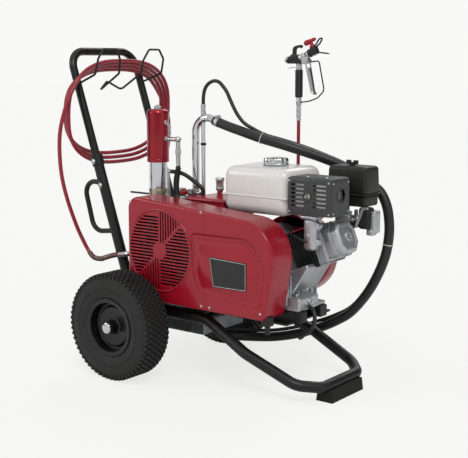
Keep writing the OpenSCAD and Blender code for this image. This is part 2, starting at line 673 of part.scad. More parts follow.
head_d = deck_d + 80;
cover_d = 222;
module cylinder_head() color("#b4b6b9") placed() along_cylinder() {
  translate([head_d, -48, -54]) cube([34, 96, 108]);
  for (i = [0:3]) translate([head_d + 3 + i * 8, -50, -58]) cube([3, 100, 116]);
  translate([head_d + 33, -42, -44]) cube([cover_d - head_d - 32, 84, 88]);
  translate([cover_d, 0, 0]) rotate([90, 0, 90]) linear_extrude(head_end - cover_d - 4)
    polygon(rounded([[-42, -22], [-24, -cover_half], [24, -cover_half], [42, -22], [42, 22], [24, cover_half],
      [-24, cover_half], [-42, 22]], [8, 8, 8, 8, 8, 8, 8, 8], 2));
  translate([head_end - 5, 0, 0]) rotate([0, 90, 0]) cylinder(r = 14, h = 5, $fn = 48);
  translate([head_d + 12, -49, 14]) rotate([90, 0, 0]) cylinder(r = 7, h = 20, $fn = 6);
}

muffler_a = [487, -77, 365];
muffler_b = [635, 26, 471];
module muffler() color("#6f6a63") placed() {
  port = [549, -50, 310];
  mid = (muffler_a + muffler_b) / 2;
  for (z = [-26, 32]) cross_bar(mid[0] - 1, mid[2] + z, muffler_a[1] + 2, mid[1] - 30, 6);
  c = (muffler_a + muffler_b) / 2;
  translate(c + [0, 0, 4]) soft_block([126, 84, 84], 14);
  cross_bar(port[0], port[2], cylinder_y - 56, cylinder_y - 50, 16);
  cross_bar(port[0], port[2], port[1], cylinder_y - 51, 12);
  translate(port) sphere(r = 12, $fn = 48);
  rod(port, [port[0], port[1], muffler_a[2] + 20], 12);
}
slot_rows = 6;
module muffler_guard() color("#2e2f31") placed() {
  size = muffler_b - muffler_a;
  c = (muffler_a + muffler_b) / 2;
  difference() {
    block(muffler_a, muffler_b);
    block(muffler_a + [2, 2, -1], muffler_b - [2, 2, 2]);
    for (i = [0:slot_rows - 1]) for (x = [14, 88])
      translate(muffler_a + [x, -1, 22 + i * 12]) cube([44, 4, 6]);
    translate([c[0] - 6, muffler_a[1] - 1, c[2]]) rotate([-90, 0, 0]) cylinder(r = 10, h = 4, $fn = 48);
    translate([muffler_b[0] - 3, c[1] + 4, c[2] + 4]) rotate([0, 90, 0]) cylinder(r = 19, h = 6, $fn = 64);
    for (i = [0:8])
      translate([muffler_a[0] + 12 + i * 14, muffler_a[1] + 8, muffler_b[2] - 3]) cube([6, 20, 4]);
  }
  translate([c[0] + 10, muffler_b[1] - 3, muffler_b[2] - 40]) cube([20, 12, 6]);
}

cleaner_a = [517, 82, 376];
cleaner_b = [646, 162, 493];
module air_cleaner() color("#232324") placed() {
  c = (cleaner_a + cleaner_b) / 2;
  size = cleaner_b - cleaner_a;
  translate([c[0], c[1], cleaner_a[2] + 17]) soft_block([size[0] - 8, size[1] - 8, 34], 8);
  translate([c[0], c[1], (cleaner_a[2] + 34 + cleaner_b[2]) / 2])
    soft_block([size[0], size[1], size[2] - 34], 14);
}
module cleaner_knob() color("#161617") placed() {
  c = (cleaner_a + cleaner_b) / 2;
  translate([c[0], c[1], cleaner_b[2] + 0.2]) {
    cylinder(r = 9, h = 9, $fn = 48);
    for (s = [-1, 1]) translate([s * 12, 0, 9]) cube([14, 6, 12], center = true);
  }
}

module carburettor() color("#9c9ea1") placed() {
  block([545, 82, 300], [600, 112, 352]);
  cross_bar(556, 313, cylinder_y + 50, 83, 12);
  translate([lever_x, 98, 351]) cylinder(r = 11, h = cleaner_a[2] - 351, $fn = 48);
  translate([lever_x, 97, 288]) cylinder(r = 15, h = 14, $fn = 48);
  block([599, 84, 330], [622, 90, 368]);
}
lever_x = 574;
module throttle_lever() color("#1d1d1e") placed() {
  rod([lever_x, 112 + run, 336], [lever_x, 118, 336], 9);
  block([lever_x - 4, 112 + run, 336], [lever_x + 4, 117, 368]);
}

// Blower housing, starter cover and the sheet over the cylinder: three pressings
blower_x = crank_x + 4;
blower_z = crank_z + 8;
blower_r = 122;
blower_y1 = case_y1 + 83;
starter_r = 84;
starter_turn = 35;
starter_side = [cos(starter_turn), 0, sin(starter_turn)];
function starter_at(r) = [blower_x - r * sin(starter_turn), blower_y1 + 15, blower_z + r * cos(starter_turn)];
module blower_housing() color("#8e1b2a") placed() {
  difference() {
    union() {
      cross_bar(blower_x, blower_z, case_y1, blower_y1, blower_r, 96);
      cross_bar(blower_x, blower_z, blower_y1 - 1, blower_y1 + 30, starter_r, 96);
      cross_bar(blower_x, blower_z, blower_y1 + 29, blower_y1 + 41, starter_r - 22, 96);
    }
    cross_bar(blower_x, blower_z, case_y1 - 1, blower_y1 - 3, blower_r - 3, 96);
    cross_bar(blower_x, blower_z, blower_y1 - 4, blower_y1 + 27, starter_r - 3, 96);
    for (a = [0:30:330]) translate([blower_x, blower_y1 + 18, blower_z]) rotate([0, a, 0])
      translate([starter_r - 6, -6, -9]) cube([10, 12, 18]);
  }
  rod(starter_at(starter_r - 2), starter_at(starter_r + 8), 9);
  block([crank_x - 20, case_y1, crank_z + 96], [crank_x + 60, case_y1 + 4, crank_z + 126]);
}
// T grip, seated on the cord's guide on the starter cover's rim
module recoil_grip() color("#1a1a1b") placed() {
  rod(starter_at(starter_r + 8 + run), starter_at(starter_r + 22), 5);
  rod(starter_at(starter_r + 24) - 22 * starter_side, starter_at(starter_r + 24) + 22 * starter_side, 7);
}

tank_x = 250;
tank_y = 22;
tank_z = 350;
module fuel_tank() color("#dcdad6") placed() {
  c = [tank_x + tank_size[0] / 2, tank_y, tank_z + tank_size[2] / 2];
  difference() {
    translate(c) soft_block(tank_size, 30);
    translate(c) soft_block(tank_size - [6, 6, 6], 27);
  }
  block([crank_x - 29, -50, crank_z + 105], [crank_x - 5, 60, tank_z + 1]);
  translate([cap_x, cap_y, tank_z + tank_size[2] - 2]) cylinder(r = fuel_cap_d / 2 - 8, h = 5, $fn = 64);
}
cap_x = 380;
cap_y = 20;
fuel_cap_h = 22;
module fuel_cap() color("#c2c4c6") placed()
  translate([cap_x, cap_y, tank_z + tank_size[2] + 3.1])
    cylinder(r = fuel_cap_d / 2, h = fuel_cap_h, $fn = 96);

// ---------------------------------------------------------------- spray gun
// The gun's own frame: origin at the foot of its swivel nut, on the hose's axis
gun_x = 354;
gun_y = 175;
gun_z = 639;
module gun_place() placed() translate([gun_x, gun_y, gun_z]) children();

grip_r = 11.5;
guard_bar = [[8, 0, 30], [38, 0, 35], [66, 0, 46], [91, 0, 67], [71, 0, 156], [30, 0, 150]];
trigger_x = 30;
trigger_z = 156;
pin_r = 2.5;
// The barrel, the tip and its guard lean up from the head
barrel_at = [8, 0, 166];
barrel_tilt = 22;
module on_barrel() translate(barrel_at) rotate([0, -barrel_tilt, 0]) children();
module gun_body() color("#2a2a2c") gun_place() {
  cylinder(r = 8.5, h = 20, $fn = 6);
  translate([0, 0, 19]) cylinder(r = 8.5, h = 27, $fn = 48);
  translate([0, 0, 45]) cylinder(r = grip_r, h = 84, $fn = 48);
  translate([0, 0, 128]) cylinder(r = 9.5, h = 20, $fn = 48);
  block([-38, -11, 147], [8, 11, 178]);
  rod([-46, 0, 160], [-37, 0, 160], 9);
  on_barrel() rod([-6, 0, 0], [31, 0, 0], 10);
  block([7, -7, 146], [36, 7, 170]);
  block([24, -11.2, 150], [36, 11.2, 163]);
  rod([trigger_x, -15.5, trigger_z], [trigger_x, 15.5, trigger_z], pin_r);
  block([-22, -4, 176], [-11, 4, 198]);
  block([-22, -4, 191], [10, 4, 199]);
  block([6, -7, 27], [12, 7, 33]);
  for (i = [0:4]) rod(guard_bar[i], guard_bar[i + 1], 2);
  for (i = [1:4]) translate(guard_bar[i]) sphere(r = 2.2, $fn = 32);
}

// Two-finger trigger, hung on a pin across the head
trigger_foot = [52, 0, 60];
module gun_trigger() color("#cfd0d2") gun_place() {
  for (s = [near, far]) difference() {
    union() {
      block([trigger_x - 5, s * 13 - 1.5, trigger_z - 8], [trigger_x + 5, s * 13 + 1.5, trigger_z + 6]);
      rod([trigger_x + 2, s * 13, trigger_z - 7], trigger_foot + [0, s * 9, 0], 2.5);
    }
    cross_bar(trigger_x, trigger_z, -20, 20, pin_r + shaft_gap);
  }
  rod(trigger_foot - [0, 12, 0], trigger_foot + [0, 12, 0], 3);
  rod(trigger_foot + [2, 0, -8], trigger_foot + [0, 0, 1], 2);
}

// Tip guard: a nut, a block and two wings that stand out above and below the jet
tip_x = 49;
module tip_guard() color("#1c1c1d") gun_place() on_barrel() difference() {
  union() {
    rod([31, 0, 0], [37, 0, 0], 12.5);
    block([35, -12, -12], [62, 12, 12]);
    for (s = [near, far]) hull() {
      translate([63, s * -5, s * 9]) cube([8, 16, 5], center = true);
      translate([88, s * -9, s * 23]) cube([8, 16, 4], center = true);
    }
  }
  translate([tip_x, 0, -9 - run]) cylinder(r = 5 + shaft_gap, h = 40, $fn = 48);
}

// Reversible tip: its barrel stands in the guard and its red key turns half a turn
module spray_tip() color("#a11f30") gun_place() on_barrel() {
  translate([tip_x, 0, -9]) cylinder(r = 5, h = 36, $fn = 48);
  translate([tip_x, 0, 12 + run]) cylinder(r = 9, h = 7, $fn = 48);
  rod([tip_x - 22, 0, 33], [tip_x + 4, 0, 33], 8);
  rod([tip_x, 0, 33], [tip_x + 18, 0, 33], 5.5);
}

// Strap on the blower housing whose ring holds the hose below the gun
clip_r = 10;
whip_r = 5.5;
module gun_clip() color("#2b2b2d") placed() difference() {
  union() {
    block([gun_x - 9, case_y1 + 74, blower_z + 112], [gun_x + 9, case_y1 + 78, 476]);
    block([gun_x - 5, case_y1 + 76, 444], [gun_x + 5, gun_y - 3, 472]);
    translate([gun_x, gun_y, 444]) cylinder(r = clip_r, h = 28, $fn = 48);
  }
  translate([gun_x, gun_y, 440]) cylinder(r = whip_r + run, h = 40, $fn = 48);
  translate([blower_x, 0, blower_z]) rotate([-90, 0, 0]) cylinder(r = blower_r, h = 400, $fn = 96);
}

// ---------------------------------------------------------------- hoses
// Routes in the part's own frame, in round numbers
siphon_route = [[-35, 40, 776], [13, 40, 762], [67, 45, 747], [135, 58, 727], [193, 78, 711],
  [249, 108, 692], [305, 146, 669], [362, 181, 641], [423, 204, 601], [461, 211, 574],
  [483, 211, 538], [494, 209, 498], [498, 206, 450], [489, 205, 388], [463, 206, 322],
  [420, 214, 254], [364, 218, 190], [312, 217, 154], [250, 214, 122], [166, 204, 90],
  [76, 192, 68], [-40, 180, 54], [-104, 168, 52], [-164, 150, 62], [-218, 120, 90],
  [-246, 98, 122], [-266, 77, 162], [-275, 64, 202], [-278, 58, 240], [-278, 58, 262]];
bleed_route = [[-79, 40, 825], [-79, 40, 838], [-77.5, 40, 853], [-74, 40, 868], [-66, 40, 882],
  [-52, 40, 893], [-34, 40, 898.5], [-16, 40, 895], [-1, 40, 883], [14, 41, 865], [31, 43, 832],
  [49, 46, 800], [70.5, 51, 774], [93, 61, 758], [133, 77.5, 737], [188.5, 96.5, 722],
  [242.5, 125.5, 703.5], [297, 164.5, 678], [356, 201, 647.5], [419.5, 225, 605.5],
  [459.5, 233, 575], [478.5, 232, 535.5], [485, 229, 495.5], [485.5, 224, 450], [477, 223, 391],
  [453.5, 224.5, 328.5], [410.5, 232, 262.5], [354, 234, 201.5], [302.5, 229, 169.5],
  [241, 218.5, 141.5], [159.5, 203, 111], [72.5, 191.5, 89.5], [-42, 180, 76],
  [-102.5, 168.5, 74], [-158, 152.5, 83], [-208.5, 126, 108.5]];
lower_clamp = [-300, -182, 345];
hose_down = [-cos(lean), 0, -sin(lean)];
feed_route = [[-208, -98, 360], [-208, -110, 360], [-210, -134, 361], [-222, -160, 362],
  [-248, -176, 360], lower_clamp - 26 * hose_down, lower_clamp - 14 * hose_down,
  lower_clamp - 0.2 * hose_down];
whip_route = [[-422, 266, 700], [-422, 266, 692], [-422, 266, 682], [-421, 259, 656],
  [-417, 244, 628], [-408, 226, 596], [-388, 212, 552], [-354, 209, 506], [-300, 212, 460],
  [-230, 217, 424], [-150, 221, 402], [-60, 223, 394], [20, 224, 404], [90, 224, 432],
  [140, 218, 472], [170, 202, 518], [186, 184, 560], [190, 175, 594], [190, 175, 606],
  [190, 175, 640], [190, 175, 720], [190, 175, 803.7]];
whip_cut = 240;

module siphon_hose() color("#232324") swept(flow(siphon_route, 2), siphon_hose_d / 2, 10);
module bleed_hose() color("#1c1c1d") swept(flow(bleed_route, 2), bleed_hose_d / 2, 8);
module feed_hose() color("#8e1b2a") swept(flow(feed_route, 3), paint_hose_d / 2, 8);
module whip_half(y0, y1) intersection() {
  swept(flow(whip_route, 3), whip_r, 8);
  block([-600, y0, 300], [600, y1, 1000]);
}
module whip_hose() color("#8e1b2a") whip_half(0, whip_cut);

// Inlet strainer on the suction hose's end
strainer_foot = siphon_route[len(siphon_route) - 1];
module siphon_strainer() color("#b7b9bb") translate(strainer_foot) {
  cylinder(r = siphon_hose_d / 2 + 1, h = 12, $fn = 48);
  translate([0, 0, 11]) cylinder(r = siphon_hose_d / 2 + 4, h = 50, $fn = 48);
}

// The hose's coil: one tube round and round an upright oval, hung on the rack's arms
coil_start = -56;
coil_end = 1130;
coil_steps = 24;
coil_x = -402;
coil_pitch = 12.2;
coil_lean = 0.06;
function oval(q, a, b, y0, z0) =
  [y0 + a * sgn(sin(q)) * pow(abs(sin(q)), 0.76), z0 + b * sgn(cos(q)) * pow(abs(cos(q)), 0.76)];
function coil_point(q) = let (k = q / 360)
  let (p = oval(q, 235 - 5 * k, 169 - 12 * k, 10, 791 + 2.5 * k))
  [coil_x - coil_pitch * k + coil_lean * (p[1] - 790), p[0], p[1]];
coil_turns = [for (i = [0:(coil_end - coil_start) / 360 * coil_steps])
  coil_point(coil_start + i * 360 / coil_steps)];
// The stretch that rises from the lower clamp to the first turn, and the one down to the coupling
coil_rise = [lower_clamp + 0.2 * hose_down, lower_clamp + 10 * hose_down,
  lower_clamp + 20 * hose_down, [-354, -178, 338], [-384, -172, 354],
  [-402, -180, 390], [-410, -200, 440], [-412, -234, 526], [-412, -256, 606], [-410, -264, 686],
  [-406, -262, 748], [-402, -246, 806], [-397, -226, 852]];
coil_tail = [[-450, 240, 856], [-441, 257, 818], [-429, 266, 778], [-422, 266, 752], [-422, 266, 740]];
coil_path = concat(flow(coil_rise, 2), coil_turns, coil_tail);
module hose_coil() color("#8e1b2a") swept(coil_path, paint_hose_d / 2, 6);

// Least distance between turns, on points at least a third of a turn apart
coil_gap = min([for (i = [0:len(coil_path) - 10]) for (j = [i + 9:len(coil_path) - 1])
  norm(coil_path[i] - coil_path[j])]) - paint_hose_d;
echo(coil_least_gap_mm = coil_gap);

// Coupling between the coil and the whip hose, with the first bend of the whip hose crimped in it
module hose_coupling() color("#a9abad") {
  translate(whip_route[0]) {
    cylinder(r = 7.5, h = 40, $fn = 48);
    translate([0, 0, 6]) cylinder(r = 9.5, h = 11, $fn = 6);
    translate([0, 0, 23]) cylinder(r = 9.5, h = 11, $fn = 6);
  }
  whip_half(whip_cut + run, 600);
}

frame_tube();
upright_tubes();
lift_handle();
base_frame();
foot_pad();
axle();
wheel_bearings();
tyre_right();
rim_right();
tyre_left();
rim_left();
handle_legs();
handle_bow();
hose_rack();
fan_guard();
belt_guard();
guard_backplate();
badge_plate();
drive_belt();
fan_pulley();
drive_pulley();
crankshaft();
reservoir();
filler_cap();
oil_cooler();
hydraulic_pump();
pressure_knob();
motor_cap();
motor_tube();
motor_fittings();
hydraulic_hoses();
fluid_section();
pump_rod();
bleed_lever();
suction_tubes();
crankcase();
engine_cylinder();
cylinder_head();
muffler();
muffler_guard();
air_cleaner();
cleaner_knob();
carburettor();
throttle_lever();
blower_housing();
recoil_grip();
fuel_tank();
fuel_cap();
siphon_hose();
bleed_hose();
siphon_strainer();
feed_hose();
hose_coil();
hose_coupling();
whip_hose();
gun_clip();
gun_body();
gun_trigger();
tip_guard();
spray_tip();
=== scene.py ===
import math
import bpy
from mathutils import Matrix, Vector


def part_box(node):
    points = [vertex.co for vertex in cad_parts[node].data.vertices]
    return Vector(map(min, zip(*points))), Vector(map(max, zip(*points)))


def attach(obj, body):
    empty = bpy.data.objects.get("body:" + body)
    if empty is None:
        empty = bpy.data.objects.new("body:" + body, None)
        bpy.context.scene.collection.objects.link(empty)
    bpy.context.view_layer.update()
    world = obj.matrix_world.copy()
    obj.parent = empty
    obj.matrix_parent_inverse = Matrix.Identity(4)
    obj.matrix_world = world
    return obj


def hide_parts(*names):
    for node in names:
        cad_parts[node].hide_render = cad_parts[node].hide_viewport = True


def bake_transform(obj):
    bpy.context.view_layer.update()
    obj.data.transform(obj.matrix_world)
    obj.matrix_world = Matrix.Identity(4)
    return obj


bl_info = {
    "name": "Airless paint sprayer",
    "version": (1, 0, 0),
    "blender": (4, 5, 0),
    "location": "View3D > Sidebar > Sprayer",
    "description": "Finished pieces of a petrol airless paint sprayer, built on its packed frame",
    "category": "Object",
}

import bmesh
import bpy
import numpy as np
from bpy.props import FloatProperty, FloatVectorProperty, IntProperty, PointerProperty
from mathutils import Matrix, Vector

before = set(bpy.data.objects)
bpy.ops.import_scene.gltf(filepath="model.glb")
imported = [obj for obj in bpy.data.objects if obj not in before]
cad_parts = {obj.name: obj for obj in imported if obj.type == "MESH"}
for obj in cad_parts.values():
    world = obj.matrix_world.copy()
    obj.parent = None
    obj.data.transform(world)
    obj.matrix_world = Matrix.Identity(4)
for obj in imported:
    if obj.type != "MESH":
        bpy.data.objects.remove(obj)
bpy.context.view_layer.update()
MM = 0.001
# Middle of the axle in millimetres: most sizes below are measured from it
AXLE = sum(np.array(corner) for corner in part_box("axle")) / 2 / MM
LEAN = math.radians(18.8)  # of the uprights and the handle
CYLINDER_LEAN = math.radians(22)  # of the engine's cylinder above level, and of the gun's barrel
AHEAD, ACROSS, NEAR, UP = (1, 0, 0), (0, 1, 0), (0, -1, 0), (0, 0, 1)
TRACK = 267  # from the axle's middle to the middle of each wheel
STEM = 147  # half the width between the handle's two legs
PUMP = [-44, -30, 0]  # the axis that the paint pump and its motor share
FACE = -200  # the belt guard's front face
VENT = [108, 232]  # middle of the guard's vent
CAP = [183, 0, 0]  # the oil filler's axis
CRANK = [395, 20, 205]  # where the cylinder's axis meets the crankshaft
GUN = np.array([354, 175, 639])  # foot of the gun's swivel nut
VIEW_TURN, VIEW_RISE = math.radians(37.66), math.radians(9.25)
VIEW_PLACE = [1.9973, -2.4930, 0.9628]
FILM = 36  # width in mm of the camera's sensor
# each lamp's name, the way it stands and its strength
SUNS = (("key", (0.62, -0.62, 0.95), 1.25), ("fill", (-0.9, -0.7, 0.5), 0.62),
        ("rim", (-0.2, 0.9, 0.7), 0.4))
SUN_WIDTH = math.radians(24)
AMBIENT = 0.5  # the world's share of the light
PAPER_GLOW = 0.8  # share of the floor's colour that no lamp changes, as the camera sees it
# brightness of the room that gloss sees, from its back at 0 to the side behind the camera at 1
ROOM_WALLS = ((0.0, 0.9), (0.1, 0.4), (0.24, 0.05), (0.46, 0.08), (0.6, 0.6), (0.72, 1.0),
              (0.86, 0.8), (1.0, 0.45))


# ---------------------------------------------------------------- colours and nodes
def linear(code):
    """Linear colour of an sRGB hex code: each channel over 255, then the sRGB curve undone. A
    colour that is linear already passes through."""
    if not isinstance(code, str):
        return list(code)
    c = np.array([int(code[i : i + 2], 16) for i in (1, 3, 5)]) / 255
    return [float(x) for x in np.where(c <= 0.04045, c / 12.92, ((c + 0.055) / 1.055) ** 2.4)]


def add(tree, kind, inputs=None, **settings):
    """Adds one shader node with its settings, and sets or links its inputs."""
    made = tree.nodes.new(kind)
    for name, value in settings.items():
        setattr(made, name, value)
    for name, value in (inputs or {}).items():
        if isinstance(value, bpy.types.NodeSocket):
            tree.links.new(value, made.inputs[name])
        else:
            made.inputs[name].default_value = value
    return made


def finish(name, base, mottle, grain, rough, metallic=0.0, bump=0.0, edge=1.0, coat=0.0,
           stretch=(1, 1, 1), worn=None, pitch=None, gloss=0.5):
    """A surface whose colour wanders between two hex codes over `grain` mm, with its roughness
    between two values and a bump of `bump` mm. Hard edges are rounded over `edge` mm, and `worn`
    is the hex code that rubbed edges show. `coat` is the share of clear lacquer, `stretch` draws
    the pattern finer along an axis, `pitch` is the spacing in mm of rings along a hose, and
    `gloss` is how much a paint mirrors."""
    made = bpy.data.materials.new(name)
    made.use_nodes = True
    tree = made.node_tree
    tree.nodes.clear()
    place = add(tree, "ShaderNodeTexCoord").outputs["Object"]
    place = add(tree, "ShaderNodeMapping", {"Vector": place, "Scale": stretch}).outputs[0]
    fine = add(tree, "ShaderNodeTexNoise",
               {"Vector": place, "Scale": 1 / (grain * MM), "Detail": 4.0})
    broad = add(tree, "ShaderNodeTexNoise",
                {"Vector": place, "Scale": 0.12 / (grain * MM), "Detail": 2.0})
    blend = add(tree, "ShaderNodeMath", {0: fine.outputs[0], 1: broad.outputs[0]},
                operation="MULTIPLY")
    spread = add(tree, "ShaderNodeMapRange", {0: blend.outputs[0], 1: 0.12, 2: 0.40}).outputs[0]
    colour = add(tree, "ShaderNodeMix",
                 {0: spread, 6: (*linear(base), 1), 7: (*linear(mottle), 1)},
                 data_type="RGBA").outputs[2]
    soft = add(tree, "ShaderNodeBevel", {"Radius": edge * MM}, samples=6).outputs[0]
    if worn:
        # an edge is where the rounded normal leaves the true one
        true = add(tree, "ShaderNodeNewGeometry").outputs["True Normal"]
        apart = add(tree, "ShaderNodeVectorMath", {0: soft, 1: true}, operation="DOT_PRODUCT")
        rub = add(tree, "ShaderNodeMapRange", {0: apart.outputs["Value"], 1: 0.93, 2: 0.72})
        patch = add(tree, "ShaderNodeMath", {0: rub.outputs[0], 1: broad.outputs[0]},
                    operation="MULTIPLY")
        colour = add(tree, "ShaderNodeMix",
                     {0: patch.outputs[0], 6: colour, 7: (*linear(worn), 1)},
                     data_type="RGBA").outputs[2]
    dull = add(tree, "ShaderNodeMapRange",
               {0: broad.outputs[0], 1: 0.3, 2: 0.7, 3: rough[0], 4: rough[1]})
    height = fine.outputs[0]
    if pitch:
        run = add(tree, "ShaderNodeAttribute", attribute_name="along").outputs["Fac"]
        wave = add(tree, "ShaderNodeMath", {0: run, 1: 2 * math.pi / pitch}, operation="MULTIPLY")
        height = add(tree, "ShaderNodeMath", {0: wave.outputs[0]}, operation="SINE").outputs[0]
    bumped = add(tree, "ShaderNodeBump",
                 {"Strength": 1.0, "Distance": bump * MM, "Height": height, "Normal": soft})
    shader = add(tree, "ShaderNodeBsdfPrincipled",
                 {"Base Color": colour, "Roughness": dull.outputs[0], "Metallic": metallic,
                  "Coat Weight": coat, "Coat Roughness": 0.06, "Normal": bumped.outputs[0],
                  **({} if metallic == 1.0 else {"Specular IOR Level": gloss})})
    add(tree, "ShaderNodeOutputMaterial", {"Surface": shader.outputs[0]})
    return made


def make_finishes(sizes):
    """Every finish of the machine, by the name that the pieces use, with the colours that the user
    set."""
    return {
        # polyester powder coat, baked: satin black with a fine orange peel, rubbed grey at edges
        "powder": finish("black_powder_coat", sizes.frame_colour, "#19191A", 2.2, (0.34, 0.46),
                         bump=0.05, edge=2.4, worn="#444446", gloss=0.32),
        # wet-sprayed semi-gloss enamel on the handle: smoother than the powder coat
        "handle": finish("semi_gloss_enamel", "#0E0E0F", "#131314", 3.0, (0.24, 0.34), bump=0.02,
                         edge=2.0, gloss=0.36),
        # two-stage crimson enamel under clear: deep colour with a sharp second highlight
        "guard": finish("crimson_gloss_enamel", sizes.guard_colour, "#960F24", 14, (0.24, 0.32),
                        bump=0.015, edge=2.0, coat=0.3, gloss=0.3),
        # candy red over bare aluminium: the metal shows through the colour
        "candy": finish("candy_red_anodise", "#8E1424", "#9C1A2C", 6, (0.2, 0.28), metallic=0.75,
                        edge=2.0, coat=0.35, gloss=0.4),
        # carbon-filled moulded rubber with a dusty bloom
        "tyre": finish("moulded_tyre_rubber", "#171718", "#201F1E", 7, (0.6, 0.78), bump=0.1,
                       edge=1.0, gloss=0.4),
        # matt moulded rubber of the foot pad
        "foot": finish("moulded_foot_rubber", "#161616", "#201F1E", 5, (0.7, 0.9), bump=0.1,
                       edge=1.5, gloss=0.3),
        # satin stove paint on pressed steel, rubbed grey on its beads
        "rim": finish("satin_black_rim_paint", "#0B0B0C", "#101011", 4, (0.3, 0.42), bump=0.02,
                      edge=1.2, worn="#4A4A4C", gloss=0.4),
        # hard chrome over ground steel: near mirror with faint grinding rings
        "chrome": finish("ground_hard_chrome", "#C9CBCE", "#C0C3C6", 5, (0.08, 0.13), metallic=1.0,
                         edge=1.6, stretch=(1, 1, 9)),
        # turned bearing steel, bright with a fine mottle
        "steel": finish("turned_bearing_steel", "#A6A8AA", "#929497", 2.5, (0.2, 0.34),
                        metallic=1.0, edge=0.8),
        # bright zinc plate: slightly cloudy silver
        "zinc": finish("bright_zinc_plate", "#BCBEC0", "#B2B4B6", 7, (0.26, 0.34), metallic=1.0,
                       bump=0.002, edge=0.9),
        # shot-blasted die casting: light grey and grainy, brighter at rubbed edges
        "casting": finish("shot_blasted_die_casting", "#B6B8BC", "#A6A8AC", 1.6, (0.34, 0.48),
                          metallic=0.85, bump=0.08, edge=1.8, worn="#C9CACC"),
        # the same casting painted black, rubbed light at its edges
        "black_casting": finish("black_painted_fins", "#1D1E1F", "#272829", 2.2, (0.4, 0.56),
                                bump=0.06, edge=0.8, worn="#8A8C8E", gloss=0.35),
        # grey iron with a coarse sand-cast skin under dull paint
        "iron": finish("painted_grey_iron", "#43454A", "#36383C", 2.0, (0.45, 0.65), metallic=0.5,
                       bump=0.1, edge=1.6),
        # zinc plate with a pale yellow passivate
        "gland": finish("yellow_passivated_zinc", "#BDB8A8", "#A39A84", 6, (0.2, 0.34),
                        metallic=1.0, edge=1.2),
        # oil-tempered spring wire, brown from its coating
        "spring": finish("oil_tempered_spring_wire", "#8B7D76", "#66564F", 3, (0.28, 0.42),
                         metallic=0.9, edge=1.0),
        # turned stainless steel with an even satin
        "stainless": finish("satin_stainless", "#B0B2B5", "#A8AAAD", 6, (0.24, 0.32), metallic=1.0,
                            edge=1.6),
        # injection-moulded nylon
        "nylon": finish("black_moulded_nylon", "#171716", "#1E1E1D", 1.8, (0.38, 0.5), bump=0.04,
                        edge=1.4, gloss=0.35),
        # the same nylon dyed red, a little smoother
        "red_nylon": finish("red_moulded_nylon", "#9A1626", "#A52131", 3, (0.34, 0.46), bump=0.02,
                            edge=1.2, gloss=0.35),
        # extruded rubber and nylon hoses: faint draw rings along their length
        "black_hose": finish("black_extruded_hose", "#1B1B1C", "#222223", 6, (0.36, 0.48),
                             bump=0.04, edge=0.2, pitch=4.2, gloss=0.4),
        "red_hose": finish("red_nylon_hose", "#8A1A2A", "#962535", 8, (0.28, 0.38), bump=0.03,
                           edge=0.2, pitch=3.0, coat=0.15, gloss=0.35),
        # undyed nylon strap, milky white
        "tie": finish("natural_nylon_tie", "#D8D6CC", "#C8C5B8", 3, (0.4, 0.5), edge=0.2),
        # aluminised sheet, faintly browned by heat
        "hot_steel": finish("heat_tinted_sheet", "#CFCDC9", "#B5B0AA", 16, (0.3, 0.5),
                            metallic=0.8, bump=0.03, edge=1.5),
        # dark stove enamel on thin sheet, rubbed grey at its folds
        "muffler_black": finish("stove_enamel_sheet", "#323334", "#3A3B3C", 3, (0.36, 0.5),
                                bump=0.03, edge=1.2, worn="#5E5F61", gloss=0.4),
        # pressed steel tank in warm white gloss
        "tank": finish("warm_white_gloss", sizes.tank_colour, "#D7D5D1", 24, (0.24, 0.32),
                       bump=0.01, edge=3.0, coat=0.3, gloss=0.4),
        # black anodised aluminium plate, slightly metallic
        "badge": finish("satin_black_anodised_plate", "#222224", "#28282A", 5, (0.34, 0.46),
                        metallic=0.3, edge=0.8),
        # the plate's pale border, clear anodised
        "pale_edge": finish("clear_anodised_edge", "#B9BABC", "#AEAFB2", 4, (0.3, 0.4),
                            metallic=0.8, edge=0.4),
        # mill-finish aluminium fins, grey and dull
        "cooler": finish("mill_finish_fins", "#8D8F92", "#77797D", 2.4, (0.34, 0.52), metallic=0.9,
                         bump=0.04, edge=0.6),
        # hard-anodised aluminium: near black, grey where the edges are rubbed
        "gun": finish("black_hard_anodise", "#1C1C1D", "#252527", 2.2, (0.3, 0.44), metallic=0.35,
                      edge=1.2, worn="#6E6E70", gloss=0.4),
    }


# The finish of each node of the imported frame
NODE_FINISH = {
    "powder": "frame_tube upright_tubes lift_handle base_frame hose_rack gun_clip",
    "handle": "handle_legs handle_bow",
    "guard": "fan_guard belt_guard guard_backplate reservoir blower_housing",
    "candy": "motor_cap",
    "tyre": "tyre_right tyre_left drive_belt",
    "foot": "foot_pad",
    "rim": "rim_right rim_left",
    "chrome": "axle motor_tube suction_tubes pump_rod filler_cap fuel_cap gun_trigger",
    "steel": "wheel_bearings crankshaft",
    "zinc": "motor_fittings siphon_strainer hose_coupling",
    "casting": "crankcase cylinder_head carburettor",
    "black_casting": "engine_cylinder",
    "iron": "fan_pulley drive_pulley hydraulic_pump",
    "stainless": "fluid_section",
    "nylon": "pressure_knob throttle_lever recoil_grip air_cleaner cleaner_knob",
    "red_nylon": "bleed_lever spray_tip",
    "black_hose": "siphon_hose bleed_hose hydraulic_hoses",
    "red_hose": "feed_hose hose_coil whip_hose",
    "hot_steel": "muffler",
    "muffler_black": "muffler_guard",
    "tank": "fuel_tank",
    "badge": "badge_plate",
    "cooler": "oil_cooler",
    "gun": "gun_body tip_guard",
}
